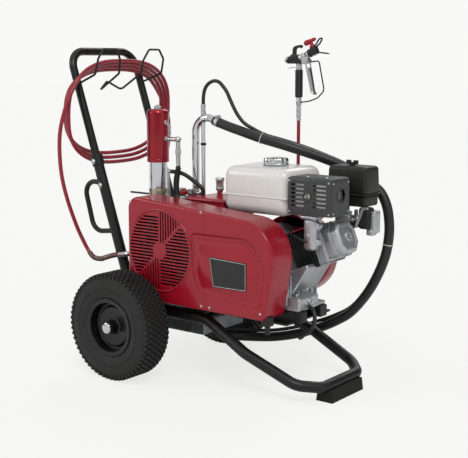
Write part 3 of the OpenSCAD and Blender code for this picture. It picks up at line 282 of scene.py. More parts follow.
# The record's material slot for a new piece with each finish, looked up by build but given to no
# piece
SLOTS = {
    "powder": "black_frame", "handle": "handle_enamel", "guard": "guard_red", "candy": "guard_red",
    "tyre": "tyre_rubber", "rim": "rim_paint", "chrome": "chrome_plate", "gland": "chrome_plate",
    "zinc": "zinc_steel", "spring": "zinc_steel", "iron": "zinc_steel", "stainless": "stainless",
    "casting": "cast_aluminium", "black_casting": "black_aluminium", "nylon": "black_plastic",
    "tie": "black_plastic", "red_nylon": "red_plastic", "black_hose": "black_hose",
    "red_hose": "red_hose", "muffler_black": "muffler_steel", "tank": "tank_enamel",
    "badge": "badge_black", "pale_edge": "badge_black", "gun": "gun_black",
}
FINISHES = {}


# ---------------------------------------------------------------- shapes, all in millimetres
def unit(v):
    """Vectors divided by their own length."""
    v = np.asarray(v, float)
    return v / np.linalg.norm(v, axis=-1, keepdims=True)


def lattice(points, wrap_u=False, wrap_v=True):
    """A grid of points (rows, columns, 3) as a surface: each cell is a four-sided face, and a
    wrapped direction joins its last line to its first."""
    rows, cols = points.shape[:2]
    i = np.arange(rows if wrap_u else rows - 1)[:, None]
    j = np.arange(cols if wrap_v else cols - 1)[None, :]
    a, b, k = i * cols, (i + 1) % rows * cols, (j + 1) % cols
    return points.reshape(-1, 3), [np.stack([a + j, a + k, b + k, b + j], -1).reshape(-1, 4)]


def flow(points, steps):
    """A soft curve through chosen points: between b and c, with neighbours a and d, it is
    b + t/2 ((c - a) + t ((2a - 5b + 4c - d) + t (3(b - c) + d - a)))."""
    p = np.asarray(points, float)
    m = len(p) - 1
    i = np.repeat(np.arange(m), steps)
    t = np.tile(np.arange(steps) / steps, m)[:, None]
    a, b, c, d = p[np.maximum(i - 1, 0)], p[i], p[i + 1], p[np.minimum(i + 2, m)]
    bent = b + 0.5 * t * ((c - a) + t * ((2 * a - 5 * b + 4 * c - d) + t * (3 * (b - c) + d - a)))
    return np.vstack([bent, p[-1:]])


def rounded(points, radii, steps=8, closed=False):
    """A route whose corners are arcs: the centre lies r / cos(half the turn) along the line that
    halves the corner, and the arc swings from one side to the other."""
    p = np.asarray(points, float)
    b = p if closed else p[1:-1]
    a = np.roll(p, 1, 0) if closed else p[:-2]
    c = np.roll(p, -1, 0) if closed else p[2:]
    u, w = unit(b - a), unit(c - b)
    r = np.broadcast_to(np.asarray(radii, float), len(b))[:, None]
    turn = np.arccos(np.clip((u * w).sum(1), -1, 1))[:, None]
    k = unit(w - u)
    q = (np.arange(steps + 1) / steps - 0.5)[None, :, None] * turn[:, None]
    arc = (b + k * r / np.cos(turn / 2))[:, None] + r[:, None] * (
        -k[:, None] * np.cos(q) + unit(u + w)[:, None] * np.sin(q))
    arc = arc.reshape(-1, p.shape[1])
    return arc if closed else np.vstack([p[:1], arc, p[-1:]])


def carried(path, closed=False):
    """The direction of a path at each point, and a side direction handed on from point to point
    with the part along the path taken out, so that it doesn't twist."""
    ahead = np.roll(path, -1, 0) if closed else np.vstack([path[1:], path[-1:]])
    behind = np.roll(path, 1, 0) if closed else np.vstack([path[:1], path[:-1]])
    along = unit(ahead - behind)
    side = unit(np.cross(along[0], [0, 0, 1] if abs(along[0][2]) < 0.8 else [0, 1, 0]))
    sides = []
    for t in along:
        side = unit(side - t * (side @ t))
        sides.append(side)
    return along, np.array(sides)


def run_of(path):
    """The length run from a path's start to each of its points."""
    return np.concatenate([[0], np.cumsum(np.linalg.norm(np.diff(path, axis=0), axis=1))])


def tube(path, radius, sides=16, closed=False):
    """A round section carried along a path: each ring is the path's point plus radius times
    (cos a side + sin a up). Open ends are closed by a ring of no radius."""
    path = np.asarray(path, float)
    r = np.broadcast_to(np.asarray(radius, float), len(path)).copy()
    along, side = carried(path, closed)
    if not closed:
        path, side, along = (np.vstack([x[:1], x, x[-1:]]) for x in (path, side, along))
        r = np.concatenate([[0], r, [0]])
    a = np.linspace(0, 2 * np.pi, sides, endpoint=False)[None, :, None]
    ring = np.cos(a) * side[:, None] + np.sin(a) * np.cross(along, side)[:, None]
    return lattice(path[:, None] + r[:, None, None] * ring, wrap_u=closed)


def spring(path, radius, wire, pitch, steps=14, sides=6):
    """A wire wound round a path: the path's point plus radius times (cos q side + sin q up), where
    q grows by a full turn for each pitch of length."""
    path = np.asarray(path, float)
    run = run_of(path)
    along, side = carried(path)
    s = np.linspace(0, run[-1], int(run[-1] / pitch * steps))
    at = lambda x: np.stack([np.interp(s, run, x[:, k]) for k in range(3)], -1)
    q = (2 * np.pi * s / pitch)[:, None]
    return tube(at(path) + radius * (np.cos(q) * at(side) + np.sin(q) * at(np.cross(along, side))),
                wire, sides)


def lathe(profile, base=(0, 0, 0), axis=UP, steps=48, loop=False, lobes=0, depth=0.0):
    """A profile of (radius, height) pairs turned once about an axis. With lobes, the radius is
    also multiplied by 1 + depth cos(lobes a). A loop's last point joins its first."""
    r, h = np.asarray(profile, float).T
    w = unit(axis)
    u = unit(np.cross(w, [0, 1, 0] if abs(w[1]) < 0.8 else [0, 0, 1]))
    a = np.linspace(0, 2 * np.pi, steps, endpoint=False)
    ring = np.cos(a)[:, None] * u + np.sin(a)[:, None] * np.cross(w, u)
    wide = r[:, None] * (1 + depth * np.cos(lobes * a))
    return lattice(np.asarray(base, float) + h[:, None, None] * w + wide[..., None] * ring,
                   wrap_u=loop)


def disc(r, low, high, base=(0, 0, 0), axis=UP, steps=48, **more):
    """A plain round of radius r between two heights; with 6 steps it is a hexagon."""
    return lathe([[0, low], [r, low], [r, high], [0, high]], base, axis, steps, **more)


def prism(outline, origin, u, v, depth):
    """A flat outline in the directions u and v, carried by depth along their cross product."""
    outline, u, v = np.asarray(outline, float), unit(u), unit(v)
    ring = np.asarray(origin, float) + outline[:, :1] * u + outline[:, 1:] * v
    n = len(ring)
    i = np.arange(n)
    walls = np.stack([i, (i + 1) % n, (i + 1) % n + n, i + n], -1)
    return np.vstack([ring, ring + np.cross(u, v) * depth]), [walls, i[None, ::-1], i[None] + n]


def block(a, b):
    """A box between two corners."""
    a, b = np.minimum(a, b).astype(float), np.maximum(a, b).astype(float)
    w, h = (b - a)[:2]
    return prism([[0, 0], [w, 0], [w, h], [0, h]], a, AHEAD, ACROSS, (b - a)[2])


def pillow(a, b, r, steps=6, taper=0.0, dome=0.0):
    """A box with round edges: a ball of radius r whose eight parts are pushed out to the corners.
    Its plan shrinks by `taper` towards the top, and its top rises by `dome` mm in the middle."""
    a, b = np.asarray(a, float), np.asarray(b, float)
    quarter = np.linspace(0, np.pi / 2, steps + 1)
    turn = np.concatenate([quarter + k * np.pi / 2 for k in range(4)])
    sx = np.repeat([1, -1, -1, 1], steps + 1)
    sy = np.repeat([1, 1, -1, -1], steps + 1)
    tip = np.concatenate([quarter - np.pi / 2, quarter])
    sz = np.repeat([-1, 1], steps + 1)
    ball = np.stack(np.broadcast_arrays(np.cos(tip)[:, None] * np.cos(turn),
                                        np.cos(tip)[:, None] * np.sin(turn), np.sin(tip)[:, None]),
                    -1)
    push = np.stack(np.broadcast_arrays(sx[None], sy[None], sz[:, None]), -1)
    p = r * ball + push * ((b - a) / 2 - r)
    up = p[..., 2:] / (b - a)[2] + 0.5
    p[..., :2] *= 1 - taper * up
    p = np.concatenate([p[:1] * [0, 0, 1], p, p[-1:] * [0, 0, 1] + [0, 0, dome]])
    return lattice(p + (a + b) / 2)


def inset(corners, t):
    """A closed outline moved inwards by t: each corner goes along the sum of its two sides' inward
    directions a and b, by t / (1 + a.b)."""
    p = np.asarray(corners, float)
    q = np.roll(p, -1, 0)
    turn = np.sign((p[:, 0] * q[:, 1] - q[:, 0] * p[:, 1]).sum())
    u, w = unit(p - np.roll(p, 1, 0)), unit(q - p)
    a, b = (turn * np.stack([-x[:, 1], x[:, 0]], -1) for x in (u, w))
    return p + (a + b) * t / (1 + (a * b).sum(1, keepdims=True))


def stepped(corners, radii, rings, origin, u, v, steps=8):
    """A pressing: an outline with round corners carried through (inset, depth) rings along the
    cross product of u and v. Its first and last rings are closed by one face each."""
    u, v = np.asarray(u, float), np.asarray(v, float)
    flat = np.array([rounded(inset(corners, t), np.maximum(np.asarray(radii, float) - t, 0.4),
                             steps, True)
                     for t, h in rings])
    deep = np.array([h for t, h in rings])[:, None, None] * np.cross(u, v)
    points, faces = lattice(np.asarray(origin, float) + flat[..., :1] * u + flat[..., 1:] * v +
                            deep)
    n = flat.shape[1]
    return points, faces + [np.arange(n)[None, ::-1], np.arange(n)[None] + n * (len(rings) - 1)]


def carve(made, cutters):
    """Cuts shapes out of a finished piece, and keeps the result as its own mesh."""
    tool = build("cutter", None, "guard", cutters)
    cut = made.modifiers.new("cut", "BOOLEAN")
    cut.operation, cut.solver, cut.object, cut.use_self = "DIFFERENCE", "EXACT", tool, True
    graph = bpy.context.evaluated_depsgraph_get()
    mesh = bpy.data.meshes.new_from_object(made.evaluated_get(graph))
    made.modifiers.clear()
    made.data = mesh
    bpy.data.objects.remove(tool)
    mesh.shade_smooth()
    mesh.set_sharp_from_angle(angle=math.radians(35))


def bolt(at, axis, r, h=None, washer=True):
    """A hexagon head r across its corners, with a washer under it."""
    h = h or r * 0.75
    head = [lathe([[0, 0], [r, 0], [r, h * 0.8], [r * 0.86, h], [0, h]], at, axis, 6)]
    return head + ([disc(r * 1.3, 0, h * 0.2, at, axis, 24)] if washer else [])


def dome(at, axis, r, h):
    """A round screw or rivet head: height h cos(q), radius r sin(q)."""
    q = np.linspace(0, np.pi / 2, 6)
    return lathe(np.vstack([[[r * 0.98, -0.6]], np.stack([r * np.cos(q), h * np.sin(q)], -1)]), at,
                 axis, 20)


def placed(*shapes):
    """Shapes drawn from the axle's middle, moved to the machine's place."""
    return [(v + AXLE, f) for v, f in shapes]


def leaned(foot, shapes):
    """Shapes whose own x axis is raised by the cylinder's lean, moved to a foot."""
    c, s = math.cos(CYLINDER_LEAN), math.sin(CYLINDER_LEAN)
    turn = np.array([[c, 0, s], [0, 1, 0], [-s, 0, c]])
    return [(v @ turn + foot, f) for v, f in shapes]


def build(name, body, look, shapes, bevel=0.0, angle=35, replaces=(), slot=None, along=None):
    """Joins shapes into one piece in metres with the finish `look`. Doubles are merged, faces are
    turned outwards, and edges sharper than `angle` stay sharp. Edges over 40 degrees get a round
    of `bevel` mm. The slot, the finish's own unless another is given, is looked up but not used,
    and `along` is a number kept at each point for the finish of a hose."""
    slot = slot or SLOTS[look]
    faces, count = [], 0
    for points, groups in shapes:
        for group in groups:
            faces += (group + count).tolist()
        count += len(points)
    mesh = bpy.data.meshes.new(name)
    mesh.from_pydata((np.vstack([v for v, f in shapes]) * MM).tolist(), [], faces)
    if along is not None:
        mesh.attributes.new("along", "FLOAT", "POINT").data.foreach_set("value", along)
    work = bmesh.new()
    work.from_mesh(mesh)
    bmesh.ops.remove_doubles(work, verts=work.verts, dist=1e-6)
    bmesh.ops.dissolve_degenerate(work, edges=work.edges, dist=1e-7)
    bmesh.ops.recalc_face_normals(work, faces=work.faces)
    work.to_mesh(mesh)
    work.free()
    mesh.shade_smooth()
    mesh.set_sharp_from_angle(angle=math.radians(angle))
    made = bpy.data.objects.new(name, mesh)
    bpy.context.scene.collection.objects.link(made)
    mesh.materials.append(FINISHES[look])
    if bevel:
        rim = made.modifiers.new("edges", "BEVEL")
        rim.width, rim.segments, rim.angle_limit = bevel * MM, 2, math.radians(40)
        rim.harden_normals = True
    if body:
        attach(made, body)
    if replaces:
        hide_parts(*replaces)
    return made


def hose(name, body, look, path, radius, sides=16, replaces=()):
    """A hose along a path, with the millimetres run so far kept on each ring for its finish."""
    run = run_of(path)
    kept = np.repeat(np.concatenate([[0], run, run[-1:]]), sides)
    made = build(name, body, look, [tube(path, radius, sides)], angle=60, replaces=replaces,
                 along=kept)
    return made, float(run[-1]) * MM


def at_run(path, start, stop, steps=24):
    """The stretch of a path between two distances from its beginning."""
    run = run_of(path)
    s = np.linspace(start, stop, steps)
    return np.stack([np.interp(s, run, path[:, k]) for k in range(3)], -1)


# ---------------------------------------------------------------- hose routes, millimetres
SUCTION = np.array([
    [-35, 40, 776], [13, 40, 762], [67, 45, 747], [135, 58, 727], [193, 78, 711], [249, 108, 692],
    [305, 146, 669], [362, 181, 641], [423, 204, 601], [461, 211, 574], [483, 211, 538],
    [494, 209, 498], [498, 206, 450], [489, 205, 388], [463, 206, 322], [420, 214, 254],
    [364, 218, 190], [312, 217, 154], [250, 214, 122], [166, 204, 90], [76, 192, 68],
    [-40, 180, 54], [-104, 168, 52], [-164, 150, 62], [-218, 120, 90], [-246, 98, 122],
    [-266, 77, 162], [-275, 64, 202], [-278, 58, 240], [-278, 58, 262]], float)
BLEED = np.array([
    [-79, 40, 825], [-79, 40, 838], [-77.5, 40, 853], [-74, 40, 868], [-66, 40, 882],
    [-52, 40, 893], [-34, 40, 898.5], [-16, 40, 895], [-1, 40, 883], [14, 41, 865], [31, 43, 832],
    [49, 46, 800], [70.5, 51, 774], [93, 61, 758], [133, 77.5, 737], [188.5, 96.5, 722],
    [242.5, 125.5, 703.5], [297, 164.5, 678], [356, 201, 647.5], [419.5, 225, 605.5],
    [459.5, 233, 575], [478.5, 232, 535.5], [485, 229, 495.5], [485.5, 224, 450], [477, 223, 391],
    [453.5, 224.5, 328.5], [410.5, 232, 262.5], [354, 234, 201.5], [302.5, 229, 169.5],
    [241, 218.5, 141.5], [159.5, 203, 111], [72.5, 191.5, 89.5], [-42, 180, 76],
    [-102.5, 168.5, 74], [-158, 152.5, 83], [-208.5, 126, 108.5]], float)
WHIP = np.array([
    [-422, 266, 700], [-422, 266, 692], [-422, 266, 682], [-421, 259, 656], [-417, 244, 628],
    [-408, 226, 596], [-388, 212, 552], [-354, 209, 506], [-300, 212, 460], [-230, 217, 424],
    [-150, 221, 402], [-60, 223, 394], [20, 224, 404], [90, 224, 432], [140, 218, 472],
    [170, 202, 518], [186, 184, 560], [190, 175, 594], [190, 175, 606], [190, 175, 640],
    [190, 175, 720], [190, 175, 803.7]], float)
CLAMP = np.array([-300, -182, 345.0])
DOWN = np.array([-math.cos(LEAN), 0, -math.sin(LEAN)])


def paint_route():
    """The paint hose from the pump to its coupling: a soft curve to the first turn, then an
    upright rounded oval whose half width is 235 - 5k and half height 169 - 12k after k turns, each
    with its sine or cosine raised to 0.76, and last a soft curve down to the coupling."""
    feed = [[-208, -98, 360], [-208, -110, 360], [-210, -134, 361], [-222, -160, 362],
            [-248, -176, 360], CLAMP - 26 * DOWN, CLAMP - 14 * DOWN, CLAMP, CLAMP + 10 * DOWN,
            CLAMP + 20 * DOWN, [-354, -178, 338], [-384, -172, 354], [-402, -180, 390],
            [-410, -200, 440], [-412, -234, 526], [-412, -256, 606], [-410, -264, 686],
            [-406, -262, 748], [-402, -246, 806], [-397, -226, 852]]
    q = np.radians(np.arange(-56, 1130.1, 15))
    k = q / (2 * np.pi)
    y = 10 + (235 - 5 * k) * np.sign(np.sin(q)) * np.abs(np.sin(q)) ** 0.76
    z = 791 + 2.5 * k + (169 - 12 * k) * np.sign(np.cos(q)) * np.abs(np.cos(q)) ** 0.76
    turns = np.stack([-402 - 12.2 * k + 0.06 * (z - 790), y, z], -1)
    tail = [[-450, 240, 856], [-441, 257, 818], [-429, 266, 778], [-422, 266, 752],
            [-422, 266, 740]]
    return flow(np.vstack([feed, turns, tail]), 4)


# ---------------------------------------------------------------- sizes and colours
class SPRAYER_PG_sizes(bpy.types.PropertyGroup):
    """Sizes and colours that a user would change"""

    paint_hose: FloatProperty(name="Paint hose", description="Outside diameter of the paint hose",
                              default=0.0126, unit="LENGTH")
    whip_hose: FloatProperty(name="Whip hose",
                             description="Outside diameter of the whip hose", default=0.011,
                             unit="LENGTH")
    suction_hose: FloatProperty(name="Suction hose",
                                description="Outside diameter of the suction hose", default=0.030,
                                unit="LENGTH")
    bleed_hose: FloatProperty(name="Bleed hose", description="Outside diameter of the bleed hose",
                              default=0.0115, unit="LENGTH")
    tread_blocks: IntProperty(name="Tread blocks", description="Blocks in one row round a tyre",
                              default=60, min=24, max=90)
    guard_colour: FloatVectorProperty(name="Guard",
                                      description="Colour of the belt guard's enamel",
                                      default=linear("#900A1E"), subtype="COLOR")
    tank_colour: FloatVectorProperty(name="Tank",
                                     description="Colour of the fuel tank's gloss paint",
                                     default=linear("#DDDBD7"), subtype="COLOR")
    frame_colour: FloatVectorProperty(name="Frame",
                                      description="Colour of the frame's powder coat",
                                      default=linear("#131314"), subtype="COLOR")
    floor_colour: FloatVectorProperty(name="Floor", description="Colour of the studio floor",
                                      default=linear("#F9F9F7"), subtype="COLOR")
    view_lens: FloatProperty(name="Lens", description="Focal length of the camera", default=79.915,
                             unit="CAMERA")


class Maker:
    """What every operator of this file shares"""

    bl_options = {"REGISTER", "UNDO"}


class SPRAYER_OT_camera(Maker, bpy.types.Operator):
    """Camera at the machine's three-quarter view"""

    bl_idname = "sprayer.camera"
    bl_label = "Camera"

    def execute(self, context):
        right = np.array([math.cos(VIEW_TURN), math.sin(VIEW_TURN), 0])
        level = np.array([math.sin(VIEW_TURN), -math.cos(VIEW_TURN), 0])
        back = level * math.cos(VIEW_RISE) + np.array(UP) * math.sin(VIEW_RISE)
        data = bpy.data.cameras.new("camera")
        data.lens, data.sensor_width = context.scene.sprayer.view_lens, FILM
        data.sensor_fit = "HORIZONTAL"
        made = bpy.data.objects.new("camera", data)
        place = np.eye(4)
        place[:3] = np.stack([right, np.cross(back, right), back, VIEW_PLACE], -1)
        made.matrix_world = Matrix(place.tolist())
        context.scene.collection.objects.link(made)
        context.scene.camera = made
        return {"FINISHED"}


class SPRAYER_OT_paint_hose(Maker, bpy.types.Operator):
    """Paint hose with its coil, coupling and the whip hose to the gun"""

    bl_idname = "sprayer.paint_hose"
    bl_label = "Paint hose"

    def execute(self, context):
        sizes = context.scene.sprayer
        path = paint_route()
        coil, length = hose("paint_hose", None, "red_hose", path, sizes.paint_hose / 2 / MM, 14,
                            ("feed_hose", "hose_coil"))
        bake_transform(coil)
        foot = WHIP[0]
        coupling = build("hose_coupling_nuts", "handle", "zinc", [
            disc(7.5, 0, 40, foot, steps=32),
            disc(9.5, 5, 16, foot, steps=6),
            disc(9.5, 22, 33, foot, steps=6)],
                         bevel=0.6, replaces=("hose_coupling",))
        # steel spring over the hose where it passes the lower clamp
        guard = build("hose_spring_guard", None, "spring",
                      [spring(at_run(path, 100, 238, 60), 7.2, 1.1, 3.4)], angle=80)
        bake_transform(guard)
        ferrule = at_run(path, 62, 96, 8)
        build("hose_end_fitting", "frame", "zinc",
              [tube(ferrule, [8, 8, 9, 9, 8, 7.4, 7.4, 7.4], 12)], angle=40)
        line = flow(WHIP, 5)
        whip, length = hose("whip_hose_run", None, "red_hose", line, sizes.whip_hose / 2 / MM, 14,
                            ("whip_hose",))
        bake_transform(whip)
        return {"FINISHED"}


class SPRAYER_OT_suction_hoses(Maker, bpy.types.Operator):
    """Suction and bleed hoses with their clamp and ties"""

    bl_idname = "sprayer.suction_hoses"
    bl_label = "Suction and bleed hoses"

    def execute(self, context):
        sizes = context.scene.sprayer
        thick, thin = sizes.suction_hose / 2 / MM, sizes.bleed_hose / 2 / MM
        path, line = flow(SUCTION, 5), flow(BLEED, 4)
        big, length = hose("suction_hose", "frame", "black_hose", path, thick, 24,
                           ("siphon_hose",))
        small, length = hose("bleed_hose_run", "frame", "black_hose", line, thin, 14,
                             ("bleed_hose",))
        # worm-drive clamp: a band with its screw housing on top
        band = at_run(path, 9, 21, 6)
        box = band[3] + [0, 0, thick + 3]
        build("worm_clamp", "frame", "zinc", [
            tube(band, thick + 1.1, 32), block(box - [7, 5, 4], box + [7, 5, 4]),
            *bolt(box - [0, 5, 0], NEAR, 4.6, 7, False)], bevel=0.6)
        # each tie is a loop round both hoses, with its clipped end standing out
        loops = []
        for run_big, run_small in ((178, 338), (740, 908)):
            a, b = at_run(path, run_big, run_big + 1, 2), at_run(line, run_small, run_small + 1, 2)
            ahead = unit(a[1] - a[0])
            across = unit((b[0] - a[0]) - ahead * ((b[0] - a[0]) @ ahead))
            up = np.cross(ahead, across)
            q = np.radians(np.arange(0, 360, 12))[:, None]
            far = np.cos(q) > 0
            centre = np.where(far, b[0], a[0])
            loops.append(tube(centre +
                              np.where(far, thin + 1,
                                       thick + 1) * (np.cos(q) * across + np.sin(q) * up), 1.2, 8,
                              closed=True))
            tip = a[0] - across * thick
            loops.append(tube(np.array([tip, tip - across * 5, tip - across * 11 + up * 3]),
                              [1.6, 1.4, 1.1], 8))
        build("hose_ties", "frame", "tie", loops, angle=50)
        return {"FINISHED"}


class SPRAYER_OT_finishes(Maker, bpy.types.Operator):
    """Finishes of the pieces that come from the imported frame"""

    bl_idname = "sprayer.finishes"
    bl_label = "Finishes"

    def execute(self, context):
        for key, names in NODE_FINISH.items():
            for name in names.split():
                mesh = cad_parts[name].data
                mesh.materials.clear()
                mesh.materials.append(FINISHES[key])
        return {"FINISHED"}


class SPRAYER_OT_wheels(Maker, bpy.types.Operator):
    """Tyres with block tread, dished rims and the axle with its caps"""

    bl_idname = "sprayer.wheels"
    bl_label = "Wheels"

    def execute(self, context):
        count = context.scene.sprayer.tread_blocks
        wall = [[81, 34], [81, 43], [90, 44], [97, 47.5], [104, 50.5], [112, 51.8], [116, 52],
                [117, 50.6], [119, 50.6], [120, 52], [130, 51.6], [141, 50], [150, 47], [157, 42],
                [160.4, 34], [161, 20], [161, 7]]
        loop = wall + [[r, -h] for r, h in wall[::-1]]
        for side, word in ((-1, "right"), (1, "left")):
            middle = AXLE + [0, side * TRACK, 0]
            out = [0, side, 0]
            rows = [tread_row(middle, count, h, 10, 11.5, 158.5, 165, (n % 2) * 0.5)
                    for n, h in enumerate((-36, -24, -12, 0, 12, 24, 36))]
            rows += [tread_row(middle, count, h, 6, 9.5, 151, 161, 0.5) for h in (-45.5, 45.5)]
            build(f"tyre_{word}_tread", f"wheel_{word}", "tyre",
                  [lathe(loop, middle, out, 120, loop=True), *rows], angle=30,
                  replaces=(f"tyre_{word}",))
            rim = [[20, -50], [20, 2], [40, 8], [56, 12], [59, 11], [61, 5], [74, 2], [74, -47],
                   [89, -48.4], [89, -45], [80, -43.7], [80, 43.7], [88, 44.8], [89.5, 46.5],
                   [88, 48.6], [82, 48.4], [76, 46.5], [74.5, 30], [73.5, 17], [70, 14], [65, 13],
                   [62.5, 16], [61, 23], [58, 25.5], [50, 24.5], [40, 23], [26, 21], [22, 24],
                   [20.5, 30], [20, 50], [16, 50], [16, -50]]
            build(f"rim_{word}_dish", f"wheel_{word}", "rim",
                  [lathe(rim, middle, out, 96, loop=True)], bevel=0.5, angle=28,
                  replaces=(f"rim_{word}",))
        q = np.linspace(0, np.pi / 2, 8)
        half = [[9.5, 0], [9.5, 319], [16.6, 319], [17, 320], [17, 322],
                *np.stack([17 * np.cos(q), 322 + 4.6 * np.sin(q)], -1)]
        build("axle_and_caps", "frame", "chrome",
              [lathe([[0, 0], *half, [0, half[-1][1]]], AXLE, (0, s, 0), 40) for s in (-1, 1)],
              replaces=("axle",))
        return {"FINISHED"}


def tread_row(middle, count, h, width, length, low, high, shift):
    """One row of tread blocks round a wheel: the same eight corners at `count` even turns, with
    their tops a little narrower than their feet."""
    turn = (np.arange(count) + shift) * 2 * np.pi / count
    x = np.array([-1, 1, 1, -1]) * length / 2
    y = np.array([-1, -1, 1, 1]) * width / 2
    r = np.repeat([low, high], 4)
    x, y = np.concatenate([x * 1.08, x * 0.9]), np.concatenate([y * 1.08, y * 0.9]) + h
    c, s = np.cos(turn)[:, None], np.sin(turn)[:, None]
    points = np.stack([c * r - s * x, np.broadcast_to(y, (count, 8)), s * r + c * x],
                      -1).reshape(-1, 3)
    cell = np.array([[0, 1, 5, 4], [1, 2, 6, 5], [2, 3, 7, 6], [3, 0, 4, 7], [4, 5, 6, 7],
                     [3, 2, 1, 0]])
    return points + middle, [(cell[None] + 8 * np.arange(count)[:, None, None]).reshape(-1, 4)]


def on_lean(s, y=0.0):
    """A point s mm up the leaning line that the uprights and the handle share."""
    return np.array([-44 - s * math.sin(LEAN), y, 31 + s * math.cos(LEAN)])


class SPRAYER_OT_frame_tubes(Maker, bpy.types.Operator):
    """Bent frame tube, lift handle and collar screws"""

    bl_idname = "sprayer.frame_tubes"
    bl_label = "Frame tubes"

    def execute(self, context):
        side = lambda s: [on_lean(70, s * STEM), [-44, s * STEM, 31], [250, s * STEM, 31],
                          [411, s * 174, -39], [575, s * 152, -110], [627.5, s * 95, -120.5]]
        line = rounded(side(-1) + side(1)[::-1], [58, 90, 90, 60, 45, 45, 60, 90, 90, 58], 8)
        build("frame_tube_bent", "frame", "powder", placed(tube(line, 16.5, 28)),
              replaces=("frame_tube",))
        top, foot = on_lean(402, -STEM), on_lean(243, -STEM)
        wall = np.array([-17.2, 0, 0])
        grip = rounded([top + wall, top + [-90, 0, 6], foot + [-95, 0, -9], foot + wall], [38, 42],
                       12)
        build("lift_handle_bar", "frame", "powder", placed(tube(grip, 8, 20)),
              replaces=("lift_handle",))
        build("collar_screws", "frame", "zinc", placed(
            *bolt(on_lean(474, -166.5), NEAR, 6.5), *bolt(on_lean(396, -163.5), NEAR, 6.5)),
              bevel=0.3)
        return {"FINISHED"}


class SPRAYER_OT_push_handle(Maker, bpy.types.Operator):
    """Push handle's bow and the wire hose rack"""

    bl_idname = "sprayer.push_handle"
    bl_label = "Push handle"

    def execute(self, context):
        bow = rounded([on_lean(778, -STEM), on_lean(838, -STEM), on_lean(838, STEM),
                       on_lean(778, STEM)], [58, 58], 12)
        build("handle_bow_tube", "handle", "handle", placed(tube(bow, 12.7, 24)),
              replaces=("handle_bow",))
        wire = lambda s: [on_lean(731) + [x, s * (STEM + y), z] for x, y, z in (
            (6, 0, 0), (88, 8, 30), (100, 6, 78), (101, -16, 108), (107, -72, 108), (100, -93, 73),
            (92, -95, 32), (2, -98, -23))]
        rack = rounded(wire(-1) + [on_lean(731) + [-14, 0, 5]] + wire(1)[::-1],
                       [14, 14, 12, 12, 14, 14, 12, 12, 12, 14, 14, 12, 12, 14, 14], 6)
        build("hose_rack_wire", "handle", "powder", placed(tube(rack, 3.5, 12)),
              replaces=("hose_rack",))
        return {"FINISHED"}


def vent_slots():
    """The pinwheel of slots: rows 10 mm apart, each from the vent's circle to the boss or to the
    sloping edge of the quarter. One half is level slots with upright ones below, and the other is
    the same half turned by half a turn."""
    cuts = []
    for k in range(-10, 11):
        z = 10.0 * k
        rim = -math.sqrt(118**2 - z * z)
        stop = min(-math.sqrt(26**2 - z * z) if abs(z) < 26 else -3, z - 4 if z < 0 else -3)
        if stop - rim > 6:
            cuts.append((rim, z - 2.75, stop, z + 2.75))
    for k in range(1, 11):
        x = 4.0 - 10 * k
        rim = -math.sqrt(118**2 - x * x)
        stop = min(-math.sqrt(26**2 - x * x) if abs(x) < 26 else 0, x - 8)
        if stop - rim > 6:
            cuts.append((x - 2.75, rim, x + 2.75, stop))
    return [block([VENT[0] + w * x0, FACE - 5, VENT[1] + w * z0],
                  [VENT[0] + w * x1, FACE + 10, VENT[1] + w * z1])
            for x0, z0, x1, z1 in cuts for w in (1, -1)]


